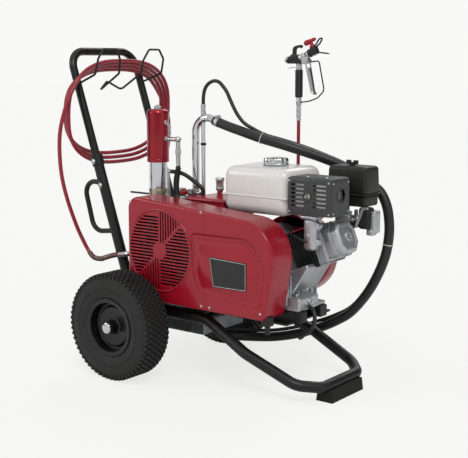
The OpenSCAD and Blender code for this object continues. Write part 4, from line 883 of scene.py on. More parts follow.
class SPRAYER_OT_belt_guard(Maker, bpy.types.Operator):
    """Pressed belt guard with its vent, panel, seam, screws and plain badge"""

    bl_idname = "sprayer.belt_guard"
    bl_label = "Belt guard"

    def execute(self, context):
        corners = [[-21, 71], [-21, 390], [545, 345], [497, 71]]
        q = np.radians(np.arange(0, 91, 15))
        out = np.stack([9 - 9 * np.cos(q), 86 + 9 * np.sin(q)], -1)
        back = np.stack([9 - 6 * np.cos(q), 86 + 6 * np.sin(q)], -1)
        rings = [*back[::-1], [3, 0], [0, 0], *out]
        shell = build("belt_guard_pressing", "frame", "guard", placed(
            stepped(corners, [12, 38, 112, 18], rings, [0, -105, 0], AHEAD, UP, 14)),
                      replaces=("fan_guard", "belt_guard"))
        # the pressed panel: a trough 5 mm deep round a raised middle that carries the badge
        panel = [[232, 300], [238, 176], [262, 124], [484, 104], [500, 222], [452, 292],
                 [426, 302]]
        turns = [14, 60, 30, 16, 70, 40, 30]
        carve(shell,
              placed(*vent_slots(), stepped(panel, turns, [[0, -8], [0, 8]], [0, FACE, 0], AHEAD,
                                            UP, 6),
                     block([284.5, -202, 60], [285.5, -199.2, 420])))
        build("guard_panel_pressing", "frame", "guard", placed(
            stepped(panel, turns,
                    [[26, 91], [20, 87], [4, 87], [0, 91], [0, 95], [6, 90.4], [20, 90], [27, 94]],
                    [0, -105, 0], AHEAD, UP, 6)), bevel=1.6)
        # a rounded ridge round the vent, fading out at the guard's back edge
        q = np.radians(np.linspace(-152, 152, 90))
        ridge = np.stack([VENT[0] + 124 * np.cos(q), np.full_like(q, FACE + 0.8),
                          VENT[1] + 124 * np.sin(q)], -1)
        build("guard_vent_ridge", "frame", "guard", placed(
            tube(ridge, 0.4 + 3.4 * np.minimum(1, (152 - abs(np.degrees(q))) / 20), 12)), angle=60)
        badge = [[315, 148], [301, 235], [435, 231], [435, 150]]
        build("badge_plate_blank", "frame", "badge", placed(
            stepped(badge, 3, [[0, -1.8], [0, 0.8], [0.8, 1.5]], [0, FACE, 0], AHEAD, UP, 4)),
              replaces=("badge_plate",))
        # black rubber foot under the guard's front corner
        build("guard_foot_mount", "frame", "nylon", placed(
            pillow([478, -190, 54], [505, -160, 84], 4, 4),
            disc(8, 30, 56, [492, -175, 0], steps=28)), angle=40)
        line = rounded(inset(badge, 2.6), 2, 4, closed=True)
        build("badge_border", "frame", "pale_edge", placed(
            tube(np.insert(line, 1, -201.4, axis=1), 0.9, 8, closed=True)), angle=60)
        spots = [[-8, 84], [-8, 372], [270, 84], [270, 362], [484, 92], [300, 84]]
        build("guard_screws", "frame", "zinc", placed(
            *(dome([x, FACE, z], NEAR, 4.2, 2) for x, z in spots)))
        return {"FINISHED"}


class SPRAYER_OT_hydraulics(Maker, bpy.types.Operator):
    """Hydraulic motor, its cap and plugs, the oil hoses and the bent suction tube"""

    bl_idname = "sprayer.hydraulics"
    bl_label = "Hydraulics"

    def execute(self, context):
        q = np.linspace(0, np.pi / 2, 10)
        shoulder = np.stack([21 + 14 * np.cos(q), 153 + 14 * np.sin(q)], -1)
        base = [-44, -30, 478]
        build("motor_cap_shell", "frame", "candy", placed(
            lathe([[29.1, 0], [34.2, 0], [35, 0.8], [35, 10], [34.4, 11], [34.4, 13], [35, 14],
                   *shoulder, [0, 167], [0, 120], [29.1, 120]], base, steps=72, loop=True)),
              angle=28, replaces=("motor_cap",))
        build("motor_cap_plugs", "frame", "zinc", placed(
            lathe([[0, 166], [11, 166], [11, 174], [9.5, 175], [0, 175]], base, steps=40),
            lathe([[0, 174], [7, 174], [7, 179], [6, 180], [0, 180]], base, steps=6),
            disc(10, 0, 5, [-10, -30, 552], AHEAD, 24),
            lathe([[0, 0], [9, 0], [9, 4], [7.5, 5], [4, 5], [4, 3.6], [0, 3.6]],
                  [-10.5, -30, 603], AHEAD, 32)),
              angle=35)
        build("motor_tube_ground", "frame", "chrome", placed(
            lathe([[11.05, 394], [29, 394], [29, 598], [24, 598], [24, 396], [11.05, 396]],
                  PUMP, steps=72, loop=True)), angle=30, replaces=("motor_tube",))
        build("motor_gland_ring", "frame", "gland", placed(
            lathe([[11.05, 358], [30.5, 358], [30.5, 360], [29.6, 361], [29.6, 366], [30.5, 367],
                   [30.5, 391], [29.6, 393.6], [11.05, 393.6]], PUMP, steps=72, loop=True)),
              angle=30)
        build("motor_stop_rod", "frame", "iron", placed(
            tube(np.array([[-72, -30, 372], [-165, -30, 372]], float), 3.2, 12)), angle=30)
        pressure = flow([[40, -30, 470], [40, -31, 454], [44, -43, 430], [56, -58, 396],
                         [77, -69, 352], [104, -81, 310], [108, -82, 284]], 10)
        back = flow([[11, -30, 450], [25, -30, 450], [53, -20, 444], [83, -8, 424], [112, 0, 400],
                     [112, 0, 381]], 10)
        build("oil_hose_lines", "frame", "nylon",
              placed(tube(pressure, 7, 16), tube(back, 6.5, 16)), angle=60,
              replaces=("hydraulic_hoses",), slot="black_hose")
        build("oil_hose_spring", "frame", "nylon",
              placed(spring(at_run(pressure, 4, 96, 40), 8.2, 1.7, 6)), angle=80,
              slot="black_hose")
        bend = rounded([[-21, -14, 84], [54, 40, 84], [54, 40, 652], [129, 40, 611]], [30, 49], 12)
        build("suction_tube_bent", "frame", "chrome", placed(
            tube(bend, 12, 32), tube(np.array([[85, 40, 372], [85, 40, 660]], float), 6.5, 20),
            tube(np.array([[85, 2, 380], [85, 40, 380]], float), 6, 16)),
              replaces=("suction_tubes",))
        build("bleed_tube_rings", "frame", "zinc", placed(
            lathe([[0, 628], [8.4, 628], [8.4, 634], [7.4, 636], [7.4, 650], [8.4, 652],
                   [8.4, 659], [0, 659]],
                  [85, 40, 0], steps=32)), angle=35)
        build("bleed_tube_grommet", "frame", "nylon", placed(
            lathe([[6.4, 532], [9, 532], [9, 540], [6.4, 540]], [85, 40, 0], steps=32, loop=True)),
              bevel=0.8)
        return {"FINISHED"}


class SPRAYER_OT_pump_parts(Maker, bpy.types.Operator):
    """Paint pump with its wrench flats and filter column, and the welded oil reservoir"""

    bl_idname = "sprayer.pump_parts"
    bl_label = "Pump and reservoir"

    def execute(self, context):
        column = [57, -10, 0]
        build("paint_pump_cylinder", "frame", "stainless", placed(
            lathe([[11.1, 80], [11.1, 357.6], [24, 357.6], [27, 355], [27, 343], [30.6, 342],
                   [31, 341], [31, 321], [30.6, 320], [27, 319], [27, 171], [27, 149], [27, 70],
                   [25, 66], [0, 66], [0, 80]], PUMP,
                  steps=72, loop=True),
            lathe([[27, 150], [30.6, 150], [31, 151], [31, 169], [30.6, 170], [27, 170]], PUMP,
                  steps=6, loop=True),
            lathe([[27, 190], [29, 190], [29, 204], [27, 204]], PUMP, steps=48, loop=True),
            lathe([[0, 23], [9, 23], [9, 40], [11, 41], [11, 54], [9, 55], [9, 68], [0, 68]],
                  [-44, -30, 195], NEAR, 36),
            tube(np.array([[-20, -24, 240], [45, -12, 240]], float), 9, 24),
            lathe([[9, 22], [13, 22], [13, 34], [9, 34]], [-44, -28, 240], (0.98, 0.18, 0), 6,
                  loop=True)),
              angle=32, replaces=("fluid_section",))
        build("filter_column", "frame", "zinc", placed(
            lathe([[0, 53], [20, 53], [20, 66], [17.6, 68], [17.6, 96], [19.6, 98], [20, 99],
                   [20, 300], [19.6, 301], [17.8, 303], [17.8, 310], [20, 312], [20, 340],
                   [16, 344], [16, 361.2], [0, 361.2]], column,
                  steps=64),
            pillow([25, -25, 361], [87, 5, 374], 2.4, 3),
            pillow([25, -25, 370], [43, 5, 398], 2.4, 3),
            pillow([71, -25, 370], [87, 5, 398], 2.4, 3),
            lathe([[0, 0], [6, 0], [6, 3], [4, 4], [0, 4]], [34, -25, 386], NEAR, 6),
            disc(5, 0, 3, [79, -25, 386], NEAR, 24)), angle=32,
              slot="stainless")
        lid = np.array([[95.4, -63.4], [245.4, -63.4], [245.4, 97.4], [110.4, 97.4], [110.4, 20],
                        [95.4, 20]], float)
        bead = rounded(np.insert(lid, 2, 374, axis=1), [8, 8, 8, 8, 3, 8], 6, closed=True)
        build("oil_reservoir_welded", "frame", "guard", placed(
            pillow([97, -62, 53], [244, 22, 381], 7, 5),
            pillow([112, 10, 53], [244, 96, 381], 7, 5), tube(bead, 2.2, 10, closed=True),
            lathe([[0, 380], [13, 380], [13, 382], [9, 384], [9, 401], [0, 401]], CAP, steps=40)),
              angle=40, replaces=("reservoir",))
        build("reservoir_gauge_frame", "frame", "nylon", placed(
            stepped([[150, 190], [172, 190], [172, 320], [150, 320]], 6,
                    [[0, 0.4], [0, -5], [2, -7], [5, -7], [6, -4]], [0, 96, 0], AHEAD, UP, 5),
            *(lathe([[0, 0], [6, 0], [6, 3], [4.4, 4], [0, 4]], [161, 102.6, z], ACROSS, 24)
              for z in (198, 312)),
            lathe([[0, 0], [12, 0], [12, 6], [8, 7], [0, 7]], [225, 96, 80], ACROSS, 6)), angle=35)
        build("filler_cap_turned", "oil_cap", "zinc", placed(
            lathe([[0, 401.1], [12, 401.1], [12.5, 402], [12.5, 408], [11.6, 409], [11.6, 427],
                   [12.6, 429], [13.6, 431], [13.6, 438], [12.4, 439.8], [0, 440.1]], CAP,
                  steps=96, lobes=24, depth=0.02)), angle=35, replaces=("filler_cap",),
              slot="chrome_plate")
        return {"FINISHED"}


class SPRAYER_OT_tank(Maker, bpy.types.Operator):
    """Fuel tank with its pressed seam and scalloped cap"""

    bl_idname = "sprayer.tank"
    bl_label = "Fuel tank"

    def execute(self, context):
        lo, hi = np.array([250, -75.5, 350]), np.array([483, 119.5, 488])
        build("fuel_tank_shell", "frame", "tank", placed(
            pillow(lo, hi, 30, 8, dome=2), pillow([248.8, -76.7, 402], [484.2, 120.7, 406], 2, 4)),
              angle=40, replaces=("fuel_tank",))
        base = [380, 20, 490]
        build("fuel_cap_scalloped", "tank_cap", "chrome", placed(
            lathe([[0, 1.2], [39, 1.2], [39, 4], [36, 5], [0, 5]], base, steps=96),
            lathe([[0, 4], [35, 4], [36, 8], [36, 17], [33, 21], [24, 22.6], [0, 23.4]], base,
                  steps=144, lobes=12, depth=0.035)), angle=40, replaces=("fuel_cap",))
        return {"FINISHED"}


class SPRAYER_OT_air_cleaner(Maker, bpy.types.Operator):
    """Tapered air cleaner cover over its base"""

    bl_idname = "sprayer.air_cleaner"
    bl_label = "Air cleaner"

    def execute(self, context):
        build("air_cleaner_cover", "frame", "nylon", placed(
            pillow([521, 86, 376], [648, 164, 411], 8, 5),
            pillow([517, 82, 410], [652, 168, 493], 12, 7, taper=0.05),
            pillow([516, 81, 409], [653, 169, 414], 2.4, 4)), angle=40, replaces=("air_cleaner",))
        return {"FINISHED"}


def tilted(*shapes):
    """Shapes drawn in the cylinder's own frame, where x runs from the crankshaft to the cover."""
    return placed(*leaned(CRANK, shapes))


class SPRAYER_OT_engine(Maker, bpy.types.Operator):
    """Crankcase, finned cylinder, head with its cover, exhaust port, carburettor and oil drain"""

    bl_idname = "sprayer.engine"
    bl_label = "Engine"

    def execute(self, context):
        cover = [[-44, -24], [-26, -48], [34, -48], [56, -24], [56, 24], [34, 48], [-26, 48],
                 [-44, 24]]
        build("rocker_cover", "frame", "casting", tilted(
            stepped(cover, 8,
                    [[-5, 0], [-5, 5], [0, 6.5], [0, 20], [2, 26], [7, 31], [11, 32.5], [16, 32.5],
                     [18, 31.2]], [222, 0, 0], ACROSS, UP, 4),
            lathe([[0, 30], [14, 30], [14, 34.6], [12, 36], [9, 36], [8, 35], [0, 35]],
                  [222, 6, 0], AHEAD, 40),
            pillow([212, 50, -34], [228, 68, -8], 5, 4),
            pillow([206, 50, 10], [224, 66, 34], 5, 4)), angle=26)
        fins = [stepped([[-50, -58], [50, -58], [50, 58], [-50, 58]], 9,
                        [[0.8, 0], [0, 0.8], [0, 2.4], [0.8, 3.2]], [168 + 8 * k, 0, 0], ACROSS,
                        UP, 4) for k in range(4)]
        build("cylinder_head_casting", "frame", "casting", tilted(
            *fins, pillow([165, -46, -52], [199, 46, 52], 5, 4),
            pillow([196, -40, -42], [224, 40, 42], 4, 4)),
              angle=30, replaces=("cylinder_head",))
        fins = [stepped([[-51, -58], [51, -58], [51, 58], [-51, 58]], 12,
                        [[0.9, 0], [0, 0.9], [0, 2.6], [0.9, 3.5]], [88 + 10 * k, 0, 0], ACROSS,
                        UP, 4) for k in range(8)]
        build("cylinder_fins", "frame", "black_casting", tilted(
            *fins, disc(47, 85, 165, (0, 0, 0), AHEAD, 56)),
              angle=30, replaces=("engine_cylinder",))
        build("exhaust_port", "frame", "casting", placed(
            pillow([537, -72, 262], [577, -34, 356], 14, 5),
            pillow([531, -76, 352], [583, -28, 364], 5, 4),
            pillow([572, -60, 276], [584, -36, 296], 5, 4),
            pillow([572, -62, 322], [584, -38, 344], 5, 4), *bolt([584, -48, 286], AHEAD, 7),
            *bolt([584, -50, 333], AHEAD, 7), *bolt([565, -50, 357], (0, 0, -1), 5.5),
            *bolt([557, -72, 306], NEAR, 5, 4)), angle=35)
        case = [[318, 95], [318, 260], [361, 310], [393, 310], [431, 292], [453, 289], [492, 192],
                [500, 135], [500, 95]]
        ribs = [pillow([496, c - 2.5, 100], [506, c + 2.5, 186], 2, 3) for c in (-78, -34, 28, 56)]
        build("crankcase_casting", "frame", "casting", placed(
            stepped(case, [8, 16, 14, 12, 8, 6, 12, 10, 6],
                    [[8, -72], [2.4, -70], [0, -66], [0, 80], [1.4, 82],
                     [1.4, 84], [0, 86], [0, 88],
                     [2.4, 91], [7, 92]],
                    (0, 0, 0), AHEAD, UP, 5),
            pillow([303, -92, 85], [542, 48, 97], 3, 3),
            pillow([440, -89, 94], [542, 12, 124], 5, 4),
            stepped([[460, 128], [460, 262], [494, 195], [550, 220], [554, 210], [502, 128]], 4,
                    [[3, -60], [0, -57], [0, 63], [3, 66]], (0, 0, 0), AHEAD, UP, 4),
            lathe([[0, 0], [9, 0], [9, 3], [7, 5], [5, 5], [5, 1], [0, 1]], [542, -36, 108], AHEAD,
                  32), *ribs,
            lathe([[0, 0], [23, 0], [23, 6], [19, 9], [15, 9], [14, 7], [0, 7]], [498, -4, 142],
                  AHEAD, 40),
            lathe([[0, 90], [44, 90], [44, 98], [42, 99], [0, 99]], [395, 0, 205], NEAR, 64),
            lathe([[0, 97], [13, 97], [13, 112], [11, 114], [11, 121], [9, 124], [0, 124.4]],
                  [513, -62, 0], steps=36),
            lathe([[0, 97], [11, 97], [11, 110], [7, 111], [7, 116], [0, 116]], [513, 14, 0],
                  steps=36)) + tilted(
            stepped([[-54, -58], [54, -58], [54, 58], [-54, 58]], 12,
                    [[2, 0], [0, 2], [0, 8], [1, 9]], [76, 0, 0], ACROSS, UP, 4)), angle=30,
              replaces=("crankcase",))
        build("carburettor_body", "frame", "casting", placed(
            pillow([547, 83, 304], [598, 111, 350], 5, 4),
            pillow([556, 86, 346], [592, 110, 360], 3, 3),
            lathe([[0, 0], [13, 0], [15.4, 3], [16, 12], [13, 15], [0, 16]], [574, 97, 287],
                  steps=40), disc(4, -5, 1, [574, 97, 287], steps=6),
            lathe([[0, 350], [11.6, 350], [11.6, 362], [14, 363], [14, 374], [11, 375.6],
                   [0, 375.6]], [574, 98, 0],
                  steps=40),
            lathe([[0, 0], [12, 0], [12, 10], [14, 11], [14, 15], [0, 15]], [556, 70, 313], ACROSS,
                  40)),
              angle=34, replaces=("carburettor",))
        arm = [[599, 332], [612, 330], [624, 352], [622, 370], [612, 368], [611, 352], [600, 346]]
        build("governor_arm", "frame", "zinc", placed(
            stepped(arm, 3, [[0.5, 0], [0, 0.5], [0, 4], [0.5, 4.5]], [0, 91, 0], AHEAD, UP, 4),
            spring(np.linspace([614, 88, 340], [560, 60, 332], 12), 3, 0.6, 2.2),
            *bolt([606, 84, 338], NEAR, 5)), angle=40)
        build("intake_spacer", "frame", "nylon", placed(
            pillow([540, 66, 296], [572, 71, 330], 2, 3),
            pillow([598, 92, 312], [612, 110, 338], 3, 3),
            pillow([552, 107, 306], [594, 111.6, 346], 2, 3),
            pillow([624, 86, 312], [662, 122, 376], 9, 5),
            tube(np.array([[600, 98, 326], [628, 98, 326]], float), 11, 20)), angle=40)
        strap = [[616, 318], [624, 316], [646, 370], [660, 372], [660, 378], [640, 378]]
        build("carburettor_bracket", "frame", "casting", placed(
            stepped(strap, 2, [[0.6, 0], [0, 0.6], [0, 5.4], [0.6, 6]], [0, 86, 0], AHEAD, UP, 3),
            pillow([654, 98, 300], [674, 134, 366], 5, 4),
            pillow([646, 96, 294], [670, 122, 312], 5, 4), *bolt([660, 98, 306], NEAR, 6),
            *bolt([668, 98, 352], NEAR, 5)), angle=35)
        heads = []
        for x, h in ((332, 98), (332, 232), (384, 306), (450, 110), (486, 132), (318, 170),
                     (492, 200)):
            heads += bolt([x, -92, h], NEAR, 6.4)
        heads += bolt([513, -62, 125], UP, 8) + bolt([505, 30, 97], UP, 7)
        build("engine_bolt_heads", "frame", "zinc", placed(*heads), bevel=0.25)
        spots = [bolt([228, a, b], AHEAD, 5) for a,
                 b in ((-44, 0), (60, -20), (58, 22), (0, -48), (0, 48))]
        build("cover_bolt_heads", "frame", "zinc", tilted(*sum(spots, [])), bevel=0.25)
        build("cylinder_shroud", "frame", "guard", tilted(
            stepped([[-55, 58.6], [55, 58.6], [55, 62.6], [-55, 62.6]], 0.6, [[0, 70], [0, 158]],
                    (0, 0, 0), ACROSS, UP, 2),
            stepped([[-55, 34], [-51.4, 34], [-51.4, 62], [-55, 62]], 0.6, [[0, 70], [0, 92]],
                    (0, 0, 0), ACROSS, UP, 2)),
              bevel=0.8)
        drain = flow([[526, -30, 91], [548, -40, 91], [566, -50, 82], [573, -56, 60],
                      [566, -58, 36], [548, -58, 18], [530, -56, 6]], 5)
        build("oil_drain_hose", "frame", "black_hose", placed(
            tube(drain, 6, 16), disc(8, -4, 10, drain[0], (1, -0.45, 0), 6),
            disc(7.4, -12, 2, drain[-1], unit(drain[-2] - drain[-1]), 6)), angle=40)
        # rubber boot and lead of the spark plug
        lead = flow([[0, -64, 0], [0, -88, 3], [-10, -98, 14], [-34, -96, 34], [-60, -84, 44]],
                    6) + [177, 0, 14]
        build("plug_boot", "frame", "nylon", tilted(
            lathe([[0, 0], [9, 0], [9, 8], [7.5, 10], [7.5, 24], [6, 28], [0, 28]], [177, -58, 14],
                  NEAR, 28),
            tube(lead, 3.4, 10)), angle=40)
        return {"FINISHED"}


class SPRAYER_OT_muffler(Maker, bpy.types.Operator):
    """Folded and slotted muffler guard with its rings, rivets and bolt"""

    bl_idname = "sprayer.muffler"
    bl_label = "Muffler guard"

    def execute(self, context):
        plan = [[487, -77], [635, -77], [635, 26], [487, 26]]
        shell = build("muffler_guard_folded", "frame", "muffler_black", placed(
            stepped(plan, 9,
                    [[2, 468], [2, 365], [0, 365], [0, 462], [0.8, 466.5], [3, 469.6], [7, 471]],
                    (0, 0, 0), AHEAD, ACROSS, 5)), replaces=("muffler_guard",))
        slots = [pillow([487 + x, -80, 387 + 12 * k], [531 + x, -70, 393 + 12 * k], 2.9, 2)
                 for k in range(6) for x in (14, 88)]
        slots += [block([499 + 14 * k, -69, 466], [505 + 14 * k, -49, 474]) for k in range(9)]
        carve(shell, placed(*slots, disc(10, -6, 6, [555, -77, 418], ACROSS, 32),
                            disc(19, -6, 6, [635, -21.5, 422], AHEAD, 40)))
        q = np.radians(np.arange(0, 360, 10))
        front = np.stack([555 + 12.4 * np.cos(q), np.full_like(q, -77.2), 418 + 12.4 * np.sin(q)],
                         -1)
        side = np.stack([np.full_like(q, 635.2), -21.5 + 20.5 * np.cos(q), 422 + 20.5 * np.sin(q)],
                        -1)
        build("muffler_guard_rings", "frame", "muffler_black", placed(
            tube(front, 2.4, 8, closed=True), tube(side, 2.0, 8, closed=True)), angle=60)
        rivets = [dome([x, -77, z], NEAR, 3, 1.6) for x in (495, 627) for z in (372, 460)]
        rivets += [dome([635, y, z], AHEAD, 3, 1.6) for y in (-64, 14) for z in (374, 458)]
        build("muffler_rivets", "frame", "zinc", placed(
            *rivets, *bolt([555, -62, 418], NEAR, 6.5), dome([540, -50, 471], UP, 5, 3),
            dome([600, -44, 471], UP, 5, 3)))
        return {"FINISHED"}


def gun_part(*shapes):
    """Shapes drawn from the foot of the gun's swivel nut."""
    return placed(*((v + GUN, f) for v, f in shapes))


def on_barrel(*shapes):
    """Shapes drawn along the barrel, which leans up from the head."""
    return gun_part(*leaned([8, 0, 166], shapes))


class SPRAYER_OT_gun(Maker, bpy.types.Operator):
    """Spray gun: grip, head with its hook, barrel, finger guard, trigger, tip guard and tip"""

    bl_idname = "sprayer.gun"
    bl_label = "Spray gun"

    def execute(self, context):
        head = [[-41, 152], [-41, 160], [-35, 167], [-22, 176], [-9, 176], [1, 172], [12, 151],
                [10, 147], [-36, 147]]
        hook = [[-24, 172], [-23, 190], [-20, 197], [-12, 201], [5, 204], [11, 203], [12, 197],
                [8, 193], [3, 196], [-8, 194], [-11, 188], [-11, 172]]
        ribs = [[r, 47 + 2 * k + d] for k in range(40) for r,
                d in ((11.6, 0), (12, 0.6), (12, 1.2), (11.6, 1.8))]
        build("gun_head_and_grip", "gun", "gun", gun_part(
            lathe([[0, 45], [10.5, 45], *ribs, [11.4, 128], [10, 129], [0, 129]], steps=40),
            stepped(head, 3, [[2, 0], [0.6, 0.6], [0, 2], [0, 20], [0.6, 21.4], [2, 22]],
                    [0, 11, 0], AHEAD, UP, 4),
            stepped(hook, 1.5, [[1.2, 0], [0, 1.2], [0, 7], [1.2, 8.2]], [0, 4.1, 0], AHEAD, UP,
                    3)),
              angle=32, replaces=("gun_body",))
        bar = rounded(np.array([[8, 0, 30], [38, 0, 34], [68, 0, 44], [92, 0, 67], [72, 0, 156],
                                [30, 0, 151]], float),
                      [40, 40, 16, 8], 8)
        lock = np.array([[-9, -6, 136], [-24, -8, 135], [-38, -8, 132]], float)
        build("gun_metal_parts", "gun", "zinc", gun_part(
            disc(8.5, 0, 13, steps=6),
            lathe([[0, 13], [6.8, 13], [6.8, 20], [8.4, 21], [8.4, 38], [7.4, 40], [7.4, 45],
                   [0, 45]], steps=36),
            lathe([[0, 129], [9.4, 129], [9.4, 136], [8, 137], [8, 140], [9.6, 141], [9.6, 147],
                   [0, 147]], steps=36),
            lathe([[0, 0], [9.4, 0], [9.6, 2], [9.6, 9], [8, 11], [0, 11]], [-38, 0, 158],
                  (-1, 0, 0), 24, lobes=16, depth=0.06),
            pillow([6, -7, 146.5], [36, 7, 169], 3, 3),
            pillow([23, -11.2, 150], [37, 11.2, 163], 2, 3),
            disc(2.4, -15.5, 15.5, [30, 0, 156], ACROSS, 20), tube(lock, 1.3, 10)) + on_barrel(
            lathe([[0, -6], [10, -6], [10.4, 6], [8.6, 10], [8.6, 20], [10, 22], [10, 31],
                   [0, 31]], axis=AHEAD,
                  steps=36)), angle=35)
        build("gun_finger_guard", "gun", "gun", gun_part(tube(bar, 2.1, 14)), angle=60)
        build("whip_end_ferrule", "frame", "zinc", gun_part(
            lathe([[5.5, -26], [7, -26], [7, -22], [6.4, -21], [6.4, -15], [7.4, -14], [7.4, -4],
                   [6.6, -3], [6.6, -0.4], [5.5, -0.4]], steps=36, loop=True)), angle=35)
        foot = np.array([52, 0, 60])
        sides = [tube(np.array([[32, w * 13, 149], [34, w * 12.4, 138], foot + [0, w * 9, 0]]),
                      2.4, 12)
                 for w in (-1, 1)]
        plate = [[35.5, 136], [38.5, 136], [54, 66], [61, 55], [59, 53], [51, 63]]
        build("trigger_lever", "trigger", "chrome", gun_part(
            *sides,
            *(lathe([[2.8, -1.5], [6.5, -1.5], [6.5, 1.5], [2.8, 1.5]], [30, w * 13, 156], ACROSS,
                    28,
                    loop=True) for w in (-1, 1)),
            stepped(plate, 1, [[0.8, 0], [0, 0.8], [0, 17], [0.8, 18]], [0, 9, 0], AHEAD, UP, 3)),
              angle=40,
              replaces=("gun_trigger",))
        loop = rounded(np.array([[58, -10, 8], [74, -14, 14], [91, -17, 24], [92, -1, 24],
                                 [74, 4, 14], [58, 0, 8]],
                                float), [8, 10, 7, 7, 10, 8], 5, closed=True)
        way = unit(np.array([92.0, 9, -25]) - [58, 4, -7])
        flat = unit(np.cross(way, ACROSS))
        v, f = tube(np.linspace([58, 4, -7], [92, 9, -25], 8), [5, 6.5, 7.4, 8, 8.2, 8, 7, 4.5],
                    20)
        wing = (v - ((v - [58, 4, -7]) @ flat)[:, None] * flat * 0.7, f)
        build("tip_guard_cast", "gun", "gun", on_barrel(
            lathe([[5.2, 31], [12, 31], [12.6, 32], [12.6, 37], [11.6, 38], [5.2, 38]], axis=AHEAD,
                  steps=48, lobes=20, depth=0.03, loop=True),
                  pillow([37, -11.5, -11.5], [62, 11.5, 11.5], 4, 4),
            tube(loop, 2.5, 12, closed=True), wing), angle=40, replaces=("tip_guard",))
        build("tip_key_handle", "tip", "red_nylon", on_barrel(
            lathe([[0, -9], [4.9, -9], [4.9, 12.2], [8.8, 12.4], [9, 13], [9, 18], [8.4, 19],
                   [5.6, 20.5], [5, 27], [0, 27]],
                  [49, 0, 0], steps=36),
            lathe([[0, -24], [4.6, -23.4], [7.4, -20.6], [8.4, -16], [8.3, -10], [7, -4], [5.9, 2],
                   [5.5, 12], [4.6, 17], [2.6, 19.4], [0, 20]], [49, 0, 33], AHEAD, 36)), angle=40,
              replaces=("spray_tip",))
        return {"FINISHED"}


class SPRAYER_OT_blower(Maker, bpy.types.Operator):
    """Blower cover with its intake louvres, starter cup and screws"""

    bl_idname = "sprayer.blower"
    bl_label = "Blower cover"

    def execute(self, context):
        base = [399, 72, 213]
        build("blower_cover_pressing", "frame", "guard", placed(
            lathe([[0, 0], [117, 0], [121, 1.5], [122, 6], [122, 70], [120.6, 76], [116, 80.6],
                   [110, 82.4], [90, 83], [86.5, 85], [84.4, 89], [84, 96], [84, 104],
                   [82.4, 109.6], [78, 112.6], [70, 113], [65.5, 113.6], [63, 116], [62, 120],
                   [61.4, 121.6], [58, 123.6], [40, 124], [36, 122.4], [0, 122.4]], base, ACROSS,
                  96),
            disc(9, -2, 8, [350.8, 170, 281.8], (-0.574, 0, 0.819), 28),
            pillow([375, 72, 300], [455, 77, 331], 2, 3)), angle=30, replaces=("blower_housing",))
        turn = np.radians(np.arange(0, 360, 15))
        louvres = [tube(np.array([[399 + r * math.sin(a), 155.3 + h, 213 + r * math.cos(a)] for r,
                                  h in
                                  ((92, 0), (96, 0.6), (106, 0.6), (110, 0))]), 2.2, 8)
                   for a in turn]
        cup = [tube(np.array([[399 + r * math.sin(a), 195.3, 213 + r * math.cos(a)]
                              for r in (43, 56)]), 1.6, 8)
               for a in turn]
        build("blower_louvres", "frame", "nylon", placed(*louvres, *cup), angle=50)
        screws = []
        for a in np.radians([45, 135, 225, 315]):
            screws += bolt([399 + 73 * math.sin(a), 184.6, 213 + 73 * math.cos(a)], ACROSS, 5.5)
        build("blower_screws", "frame", "zinc", placed(*screws), bevel=0.25)
        return {"FINISHED"}


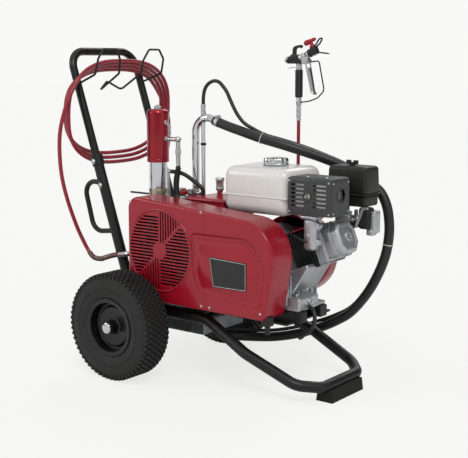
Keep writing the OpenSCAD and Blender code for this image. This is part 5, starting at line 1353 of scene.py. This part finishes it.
class SPRAYER_OT_stage(Maker, bpy.types.Operator):
    """Plain pale floor, world and soft lamps"""

    bl_idname = "sprayer.stage"
    bl_label = "Stage"

    def execute(self, context):
        scene = context.scene
        scene.view_settings.view_transform = "Standard"
        pale = (*scene.sprayer.floor_colour, 1)
        floor = bpy.data.objects.new("floor", bpy.data.meshes.new("floor"))
        floor.data.from_pydata([(-30, -30, 0), (30, -30, 0), (30, 30, 0), (-30, 30, 0)], [],
                               [(0, 1, 2, 3)])
        scene.collection.objects.link(floor)
        # seamless paper: the camera sees mostly its own colour, with the object's shadow over it
        cover = bpy.data.materials.new("seamless_paper_floor")
        cover.use_nodes = True
        tree = cover.node_tree
        tree.nodes.clear()
        lit = add(tree, "ShaderNodeBsdfDiffuse", {"Color": pale}).outputs[0]
        own = add(tree, "ShaderNodeEmission", {"Color": pale}).outputs[0]
        eye = add(tree, "ShaderNodeLightPath").outputs["Is Camera Ray"]
        share = add(tree, "ShaderNodeMath", {0: eye, 1: PAPER_GLOW},
                    operation="MULTIPLY").outputs[0]
        add(tree, "ShaderNodeOutputMaterial",
            {"Surface": add(tree, "ShaderNodeMixShader", {0: share, 1: lit, 2: own}).outputs[0]})
        floor.data.materials.append(cover)
        world = bpy.data.worlds.new("studio")
        world.use_nodes = True
        scene.world = world
        tree = world.node_tree
        tree.nodes.clear()
        ray = add(tree, "ShaderNodeLightPath").outputs
        seen = add(tree, "ShaderNodeMath", {0: ray["Is Camera Ray"], 1: ray["Is Glossy Ray"]},
                   operation="MAXIMUM")
        seen = add(tree, "ShaderNodeMath", {0: seen.outputs[0], 1: ray["Is Transmission Ray"]},
                   operation="MAXIMUM")
        room = add(tree, "ShaderNodeBackground",
                   {"Color": (1, 1, 1, 1), "Strength": AMBIENT}).outputs[0]
        # gloss sees a pale room with darker sides, which draws the edges of bright metal
        where = add(tree, "ShaderNodeTexCoord").outputs["Generated"]
        front = add(tree, "ShaderNodeVectorMath", {0: where, 1: (0.625, -0.78, 0)},
                    operation="DOT_PRODUCT")
        part = add(tree, "ShaderNodeMapRange",
                   {"Value": front.outputs["Value"], 1: -1.0, 2: 1.0}).outputs[0]
        wall = add(tree, "ShaderNodeValToRGB", {"Fac": part})
        while len(wall.color_ramp.elements) < len(ROOM_WALLS):
            wall.color_ramp.elements.new(0.5)
        for mark, (at, v) in zip(wall.color_ramp.elements, ROOM_WALLS):
            mark.position, mark.color = at, (v, v, v, 1)
        high = add(tree, "ShaderNodeMapRange",
                   {"Value": add(tree, "ShaderNodeSeparateXYZ", {0: where}).outputs[2],
                    1: 0.5, 2: 0.8, 3: 0.0, 4: 1.0})
        level = add(tree, "ShaderNodeMath", {0: wall.outputs[0], 1: high.outputs[0]},
                    operation="MAXIMUM").outputs[0]
        level = add(tree, "ShaderNodeMath", {0: level, 1: ray["Is Camera Ray"]},
                    operation="MAXIMUM").outputs[0]
        shown = add(tree, "ShaderNodeBackground", {"Color": pale, "Strength": level}).outputs[0]
        mixed = add(tree, "ShaderNodeMixShader",
                    {0: seen.outputs[0], 1: room, 2: shown}).outputs[0]
        add(tree, "ShaderNodeOutputWorld", {"Surface": mixed})
        # even light from three suns; with the world they bring a level white surface to about 1
        for name, way, strength in SUNS:
            lamp = bpy.data.lights.new(name, "SUN")
            lamp.angle, lamp.energy = SUN_WIDTH, strength
            made = bpy.data.objects.new(name, lamp)
            made.rotation_mode = "QUATERNION"
            made.rotation_quaternion = Vector(way).to_track_quat("Z", "Y")
            scene.collection.objects.link(made)
        return {"FINISHED"}


class SPRAYER_PT_panel(bpy.types.Panel):
    """Lists the operators in the 3D view's sidebar"""

    bl_idname = "SPRAYER_PT_panel"
    bl_label = "Airless paint sprayer"
    bl_space_type = "VIEW_3D"
    bl_region_type = "UI"
    bl_category = "Sprayer"

    def draw(self, context):
        for name in SPRAYER_PG_sizes.__annotations__:
            self.layout.prop(context.scene.sprayer, name)
        for operator in OPERATORS:
            self.layout.operator(operator.bl_idname)


OPERATORS = (SPRAYER_OT_camera, SPRAYER_OT_paint_hose, SPRAYER_OT_suction_hoses,
             SPRAYER_OT_finishes, SPRAYER_OT_wheels, SPRAYER_OT_frame_tubes,
             SPRAYER_OT_push_handle, SPRAYER_OT_belt_guard, SPRAYER_OT_hydraulics,
             SPRAYER_OT_pump_parts, SPRAYER_OT_tank, SPRAYER_OT_air_cleaner, SPRAYER_OT_engine,
             SPRAYER_OT_muffler, SPRAYER_OT_gun, SPRAYER_OT_blower, SPRAYER_OT_stage)


def register():
    for kind in (SPRAYER_PG_sizes, *OPERATORS, SPRAYER_PT_panel):
        bpy.utils.register_class(kind)
    bpy.types.Scene.sprayer = PointerProperty(type=SPRAYER_PG_sizes)


def unregister():
    del bpy.types.Scene.sprayer
    for kind in reversed((SPRAYER_PG_sizes, *OPERATORS, SPRAYER_PT_panel)):
        bpy.utils.unregister_class(kind)


def main():
    """Builds everything in order."""
    register()
    FINISHES.update(make_finishes(bpy.context.scene.sprayer))
    for operator in OPERATORS:
        group, name = operator.bl_idname.split(".")
        getattr(getattr(bpy.ops, group), name)()


if __name__ == "__main__":
    main()
